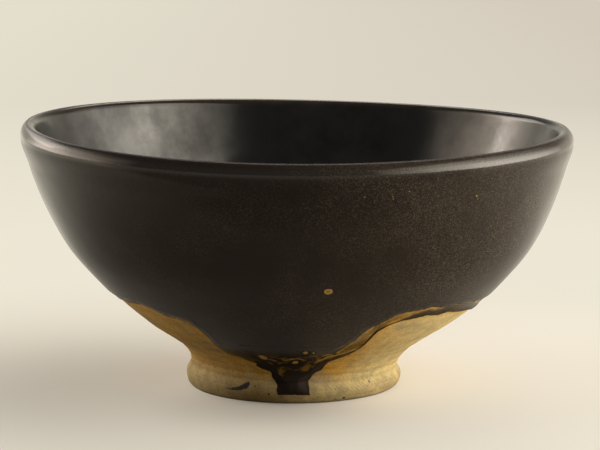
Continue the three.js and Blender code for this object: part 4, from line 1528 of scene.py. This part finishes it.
# Just in front of the bowl's foot the floor's glow is held back, a painted shadow: where, and how far this
# reaches
FOOT_SHADE_PLACE = (-3, -33, 0)
FOOT_SHADE_REACH = 36
# At the front left, close to the foot, the floor throws little light back
FOOT_DARK_PLACE = (-20, -14, 0)
FOOT_DARK_START, FOOT_DARK_END = 24, 68
FOOT_DARK_SHARE = 0.14
# The satin coat mirrors little of the floor close by, and more of the backdrop
MIRRORED_START, MIRRORED_END = 60, 190
MIRRORED_DIMMING = 0.5
MIRRORED_GAIN = 0.4


def backdrop_shade(tree, place, reach):
    """The backdrop's colour, which changes with distance and from left to right."""
    colours = bpy.context.scene.tea_bowl_colours
    across = add_node(tree, "ShaderNodeSeparateXYZ", links={"Vector": place}).outputs["X"]
    rightwards = add_node(tree, "ShaderNodeMapRange", links={
        "Value": across, "From Min": -BACKDROP_HALF_WIDTH * MM, "From Max": BACKDROP_HALF_WIDTH * MM,
    }).outputs["Result"]
    distant = add_node(tree, "ShaderNodeMix", {"data_type": "RGBA"}, {
        MIX_FACTOR: rightwards, MIX_A: rgba(colours.backdrop_far), MIX_B: rgba(colours.backdrop_right),
    }).outputs[MIX_RESULT]
    far = add_node(tree, "ShaderNodeMapRange", links={
        "Value": reach, "From Min": BACKDROP_FAR_START * MM, "From Max": BACKDROP_FAR_END * MM,
    }).outputs["Result"]
    return add_node(tree, "ShaderNodeMix", {"data_type": "RGBA"}, {
        MIX_FACTOR: far, MIX_A: rgba(colours.backdrop), MIX_B: distant,
    }).outputs[MIX_RESULT]


def glow_share(tree, place, reach):
    """How much of the floor's look is its own glow: little near the bowl, and least before its foot, where
    it paints a shadow.
    """
    away = add_node(tree, "ShaderNodeMapRange", {"interpolation_type": "SMOOTHSTEP"}, {
        "Value": reach, "From Min": BACKDROP_START * MM, "From Max": BACKDROP_END * MM,
        "To Min": FLOOR_GLOW_SHARE,
    }).outputs["Result"]
    from_shade = add_node(tree, "ShaderNodeVectorMath", {"operation": "DISTANCE"}, {
        0: place, 1: Vector(FOOT_SHADE_PLACE) * MM,
    }).outputs["Value"]
    unshaded = add_node(tree, "ShaderNodeMapRange", {"interpolation_type": "SMOOTHSTEP"}, {
        "Value": from_shade, "From Min": 0.0, "From Max": FOOT_SHADE_REACH * MM,
    }).outputs["Result"]
    return add_node(tree, "ShaderNodeMath", {"operation": "MULTIPLY"}, {0: away, 1: unshaded}).outputs[0]


def board_shade(tree, place, seen):
    """The board's colour: its own where it is seen, and another where it throws light back at the bowl."""
    colours = bpy.context.scene.tea_bowl_colours
    from_dark = add_node(tree, "ShaderNodeVectorMath", {"operation": "DISTANCE"}, {
        0: place, 1: Vector(FOOT_DARK_PLACE) * MM,
    }).outputs["Value"]
    light = add_node(tree, "ShaderNodeMapRange", {"interpolation_type": "SMOOTHSTEP"}, {
        "Value": from_dark, "From Min": FOOT_DARK_START * MM, "From Max": FOOT_DARK_END * MM,
        "To Min": FOOT_DARK_SHARE,
    }).outputs["Result"]
    bounce = add_node(tree, "ShaderNodeMix", {"data_type": "RGBA", "blend_type": "MULTIPLY"}, {
        MIX_FACTOR: 1.0, MIX_A: rgba(colours.floor_bounce), MIX_B: light,
    }).outputs[MIX_RESULT]
    return add_node(tree, "ShaderNodeMix", {"data_type": "RGBA"}, {
        MIX_FACTOR: seen, MIX_A: bounce, MIX_B: rgba(colours.floor),
    }).outputs[MIX_RESULT]


def floor_material():
    """A matt pale board near the bowl that goes over into a plain pale backdrop."""
    material, tree, surface, place = new_material("studio_floor")
    rays = add_node(tree, "ShaderNodeLightPath").outputs
    reach = add_node(tree, "ShaderNodeVectorMath", {"operation": "LENGTH"}, {0: place}).outputs["Value"]
    looked_at = add_node(tree, "ShaderNodeMath", {"operation": "MAXIMUM"}, {
        0: rays["Is Camera Ray"], 1: rays["Is Glossy Ray"],
    }).outputs[0]
    seen = add_node(tree, "ShaderNodeMath", {"operation": "MAXIMUM"}, {
        0: looked_at, 1: rays["Is Transmission Ray"],
    }).outputs[0]
    surface.inputs["Roughness"].default_value = FLOOR_ROUGHNESS
    surface.inputs["Specular IOR Level"].default_value = FLOOR_SHEEN
    tree.links.new(board_shade(tree, place, seen), surface.inputs["Base Color"])
    strength = add_node(tree, "ShaderNodeMath", {"operation": "MULTIPLY_ADD"}, {
        0: rays["Is Glossy Ray"], 1: MIRRORED_GAIN, 2: 1.0,
    }).outputs[0]
    glow = add_node(tree, "ShaderNodeEmission", links={
        "Color": backdrop_shade(tree, place, reach), "Strength": strength,
    }).outputs["Emission"]
    glowing = add_node(tree, "ShaderNodeMath", {"operation": "MULTIPLY"}, {
        0: seen, 1: glow_share(tree, place, reach),
    }).outputs[0]
    near = add_node(tree, "ShaderNodeMapRange", {"interpolation_type": "SMOOTHSTEP"}, {
        "Value": reach, "From Min": MIRRORED_START * MM, "From Max": MIRRORED_END * MM,
        "To Min": MIRRORED_DIMMING, "To Max": 0.0,
    }).outputs["Result"]
    dimmed = add_node(tree, "ShaderNodeMath", {"operation": "MULTIPLY"}, {
        0: rays["Is Glossy Ray"], 1: near,
    }).outputs[0]
    away = add_node(tree, "ShaderNodeSeparateXYZ", links={"Vector": place}).outputs["Y"]
    in_front = add_node(tree, "ShaderNodeMath", {"operation": "LESS_THAN"}, {
        0: away, 1: -FLOOR_FRONT * MM,
    }).outputs[0]
    shown = add_node(tree, "ShaderNodeMath", {"operation": "MULTIPLY_ADD"}, {
        0: rays["Is Glossy Ray"], 1: FRONT_MIRRORED, 2: rays["Is Camera Ray"],
    }).outputs[0]
    unseen = add_node(tree, "ShaderNodeMath", {"operation": "SUBTRACT", "use_clamp": True}, {
        0: in_front, 1: shown,
    }).outputs[0]
    open_room = add_node(tree, "ShaderNodeBsdfTransparent").outputs["BSDF"]
    look = surface.outputs["BSDF"]
    for factor, other in ((glowing, glow), (dimmed, None), (unseen, open_room)):
        links = {"Fac": factor, 1: look} if other is None else {"Fac": factor, 1: look, 2: other}
        look = add_node(tree, "ShaderNodeMixShader", links=links).outputs["Shader"]
    output = next(node for node in tree.nodes if node.type == "OUTPUT_MATERIAL")
    tree.links.new(look, output.inputs["Surface"])
    return material


def build_floor():
    mesh = bpy.data.meshes.new("studio_floor")
    corners = [
        Vector((x * FLOOR_REACH, y * FLOOR_REACH, -FLOOR_DROP)) * MM
        for x, y in ((-1, -1), (1, -1), (1, 1), (-1, 1))
    ]
    mesh.from_pydata(corners, [], [(0, 1, 2, 3)])
    mesh.materials.append(floor_material())
    floor = bpy.data.objects.new("studio_floor", mesh)
    bpy.context.scene.collection.objects.link(floor)


def hang_lamps():
    for name, azimuth, out, middle, tilt, width, height, brightness, tint, across, upward in LAMPS:
        lamp = bpy.data.lights.new(name, "AREA")
        lamp.shape = "RECTANGLE"
        lamp.size = width
        lamp.size_y = height
        lamp.energy = brightness * math.pi * width * height
        lamp.color = linear(tint)
        lamp.use_nodes = True
        tree = lamp.node_tree
        tree.nodes.clear()
        spread = add_node(tree, "ShaderNodeNewGeometry").outputs["Parametric"]
        places = add_node(tree, "ShaderNodeSeparateXYZ", links={"Vector": spread}).outputs
        levels = [
            add_node(tree, "ShaderNodeValToRGB", links={"Fac": places[axis]}, stops=[
                (at, (level,) * 3) for at, level in falloff
            ]).outputs["Color"]
            for axis, falloff in (("X", across), ("Y", upward))
        ]
        share = add_node(tree, "ShaderNodeMath", {"operation": "MULTIPLY"}, {
            0: levels[0], 1: levels[1],
        }).outputs[0]
        glow = add_node(tree, "ShaderNodeEmission", links={"Strength": share}).outputs["Emission"]
        add_node(tree, "ShaderNodeOutputLight", links={"Surface": glow})
        stand = bpy.data.objects.new(name, lamp)
        turn = math.radians(azimuth)
        stand.location = (out * math.cos(turn), out * math.sin(turn), middle)
        stand.rotation_euler = (math.radians(90 - tilt), 0, turn + math.radians(90))
        stand.visible_camera = False
        stand.visible_glossy = name not in LIGHTING_LAMPS
        stand.visible_diffuse = name not in MIRRORED_LAMPS
        bpy.context.scene.collection.objects.link(stand)


def fill_room():
    """A dim room round the stage, with the backdrop's colour low down for the eye and for reflections."""
    colours = bpy.context.scene.tea_bowl_colours
    world = bpy.data.worlds.new("studio")
    world.use_nodes = True
    tree = world.node_tree
    tree.nodes.clear()
    course = add_node(tree, "ShaderNodeTexCoord").outputs["Generated"]
    courses = add_node(tree, "ShaderNodeSeparateXYZ", links={"Vector": course}).outputs
    low, behind = (
        add_node(tree, "ShaderNodeMapRange", {"interpolation_type": "SMOOTHSTEP"}, {
            "Value": courses[axis], "From Min": start, "From Max": end, "To Min": first, "To Max": 1 - first,
        }).outputs["Result"]
        for axis, (start, end), first in (("Z", HORIZON_SHARES, 1), ("Y", DIM_SIDE_SHARES, 0))
    )
    rays = add_node(tree, "ShaderNodeLightPath").outputs
    mirrored = add_node(tree, "ShaderNodeMath", {"operation": "MULTIPLY"}, {
        0: rays["Is Glossy Ray"], 1: behind,
    }).outputs[0]
    seen = add_node(tree, "ShaderNodeMath", {"operation": "MAXIMUM"}, {
        0: rays["Is Camera Ray"], 1: mirrored,
    }).outputs[0]
    share = add_node(tree, "ShaderNodeMath", {"operation": "MULTIPLY"}, {0: seen, 1: low}).outputs[0]
    room = add_node(tree, "ShaderNodeMix", {"data_type": "RGBA"}, {
        MIX_FACTOR: rays["Is Glossy Ray"],
        MIX_A: rgba((WORLD_LIGHT,) * 3), MIX_B: rgba((WORLD_MIRRORED,) * 3),
    }).outputs[MIX_RESULT]
    sky = add_node(tree, "ShaderNodeMix", {"data_type": "RGBA"}, {
        MIX_FACTOR: share, MIX_A: room, MIX_B: rgba(colours.backdrop_far),
    }).outputs[MIX_RESULT]
    glow = add_node(tree, "ShaderNodeBackground", links={"Color": sky}).outputs["Background"]
    add_node(tree, "ShaderNodeOutputWorld", links={"Surface": glow})
    bpy.context.scene.world = world
    bpy.context.scene.view_settings.view_transform = "Standard"


def place_camera():
    camera = bpy.data.cameras.new("camera")
    camera.lens = LENS
    camera.sensor_width = SENSOR
    stand = bpy.data.objects.new("camera", camera)
    stand.location = Vector(CAMERA_PLACE) * MM
    stand.rotation_euler = (math.radians(90 - CAMERA_PITCH), 0, 0)
    bpy.context.scene.collection.objects.link(stand)
    bpy.context.scene.camera = stand


class TEABOWL_OT_turn_clay(bpy.types.Operator):
    """Turn the stoneware body with its foot ring and tool marks"""
    bl_idname = "tea_bowl.turn_clay"
    bl_label = "Turn the Clay"

    def execute(self, context):
        build_clay(OuterSurface(sizes()))
        return {"FINISHED"}


class TEABOWL_OT_pour_liner(bpy.types.Operator):
    """Pour the glossy black liner into the bowl"""
    bl_idname = "tea_bowl.pour_liner"
    bl_label = "Pour the Liner"

    def execute(self, context):
        build_liner(sizes())
        return {"FINISHED"}


class TEABOWL_OT_dip_coats(bpy.types.Operator):
    """Dip the outside in its first and its second coat of iron glaze"""
    bl_idname = "tea_bowl.dip_coats"
    bl_label = "Dip the Outer Coats"

    def execute(self, context):
        surface = OuterSurface(sizes())
        build_first_dip(surface)
        build_second_dip(surface)
        return {"FINISHED"}


class TEABOWL_OT_let_glaze_run(bpy.types.Operator):
    """Let thick glaze run down over the foot ring in front"""
    bl_idname = "tea_bowl.let_glaze_run"
    bl_label = "Let the Glaze Run"

    def execute(self, context):
        build_run(OuterSurface(sizes()))
        return {"FINISHED"}


class TEABOWL_OT_set_stage(bpy.types.Operator):
    """Set the pale floor, the soft lamps and the camera"""
    bl_idname = "tea_bowl.set_stage"
    bl_label = "Set the Stage"

    def execute(self, context):
        build_floor()
        hang_lamps()
        fill_room()
        place_camera()
        return {"FINISHED"}


class TEABOWL_PT_making(bpy.types.Panel):
    """The steps of making the bowl, with its sizes and colours"""
    bl_label = "Tea Bowl"
    bl_idname = "TEABOWL_PT_making"
    bl_space_type = "VIEW_3D"
    bl_region_type = "UI"
    bl_category = "Tea Bowl"

    def draw(self, context):
        for operator in OPERATORS:
            self.layout.operator(operator.bl_idname)
        for group in (context.scene.tea_bowl_sizes, context.scene.tea_bowl_colours):
            column = self.layout.column(align=True)
            for name in type(group).__annotations__:
                column.prop(group, name)


OPERATORS = (
    TEABOWL_OT_turn_clay, TEABOWL_OT_pour_liner, TEABOWL_OT_dip_coats, TEABOWL_OT_let_glaze_run,
    TEABOWL_OT_set_stage,
)
CLASSES = (TeaBowlSizes, TeaBowlColours, *OPERATORS, TEABOWL_PT_making)


def register():
    for each in CLASSES:
        bpy.utils.register_class(each)
    bpy.types.Scene.tea_bowl_sizes = PointerProperty(type=TeaBowlSizes)
    bpy.types.Scene.tea_bowl_colours = PointerProperty(type=TeaBowlColours)


def unregister():
    del bpy.types.Scene.tea_bowl_colours
    del bpy.types.Scene.tea_bowl_sizes
    for each in reversed(CLASSES):
        bpy.utils.unregister_class(each)


def main():
    register()
    bpy.ops.tea_bowl.turn_clay()
    bpy.ops.tea_bowl.pour_liner()
    bpy.ops.tea_bowl.dip_coats()
    bpy.ops.tea_bowl.let_glaze_run()
    bpy.ops.tea_bowl.set_stage()


if __name__ == "__main__":
    main()
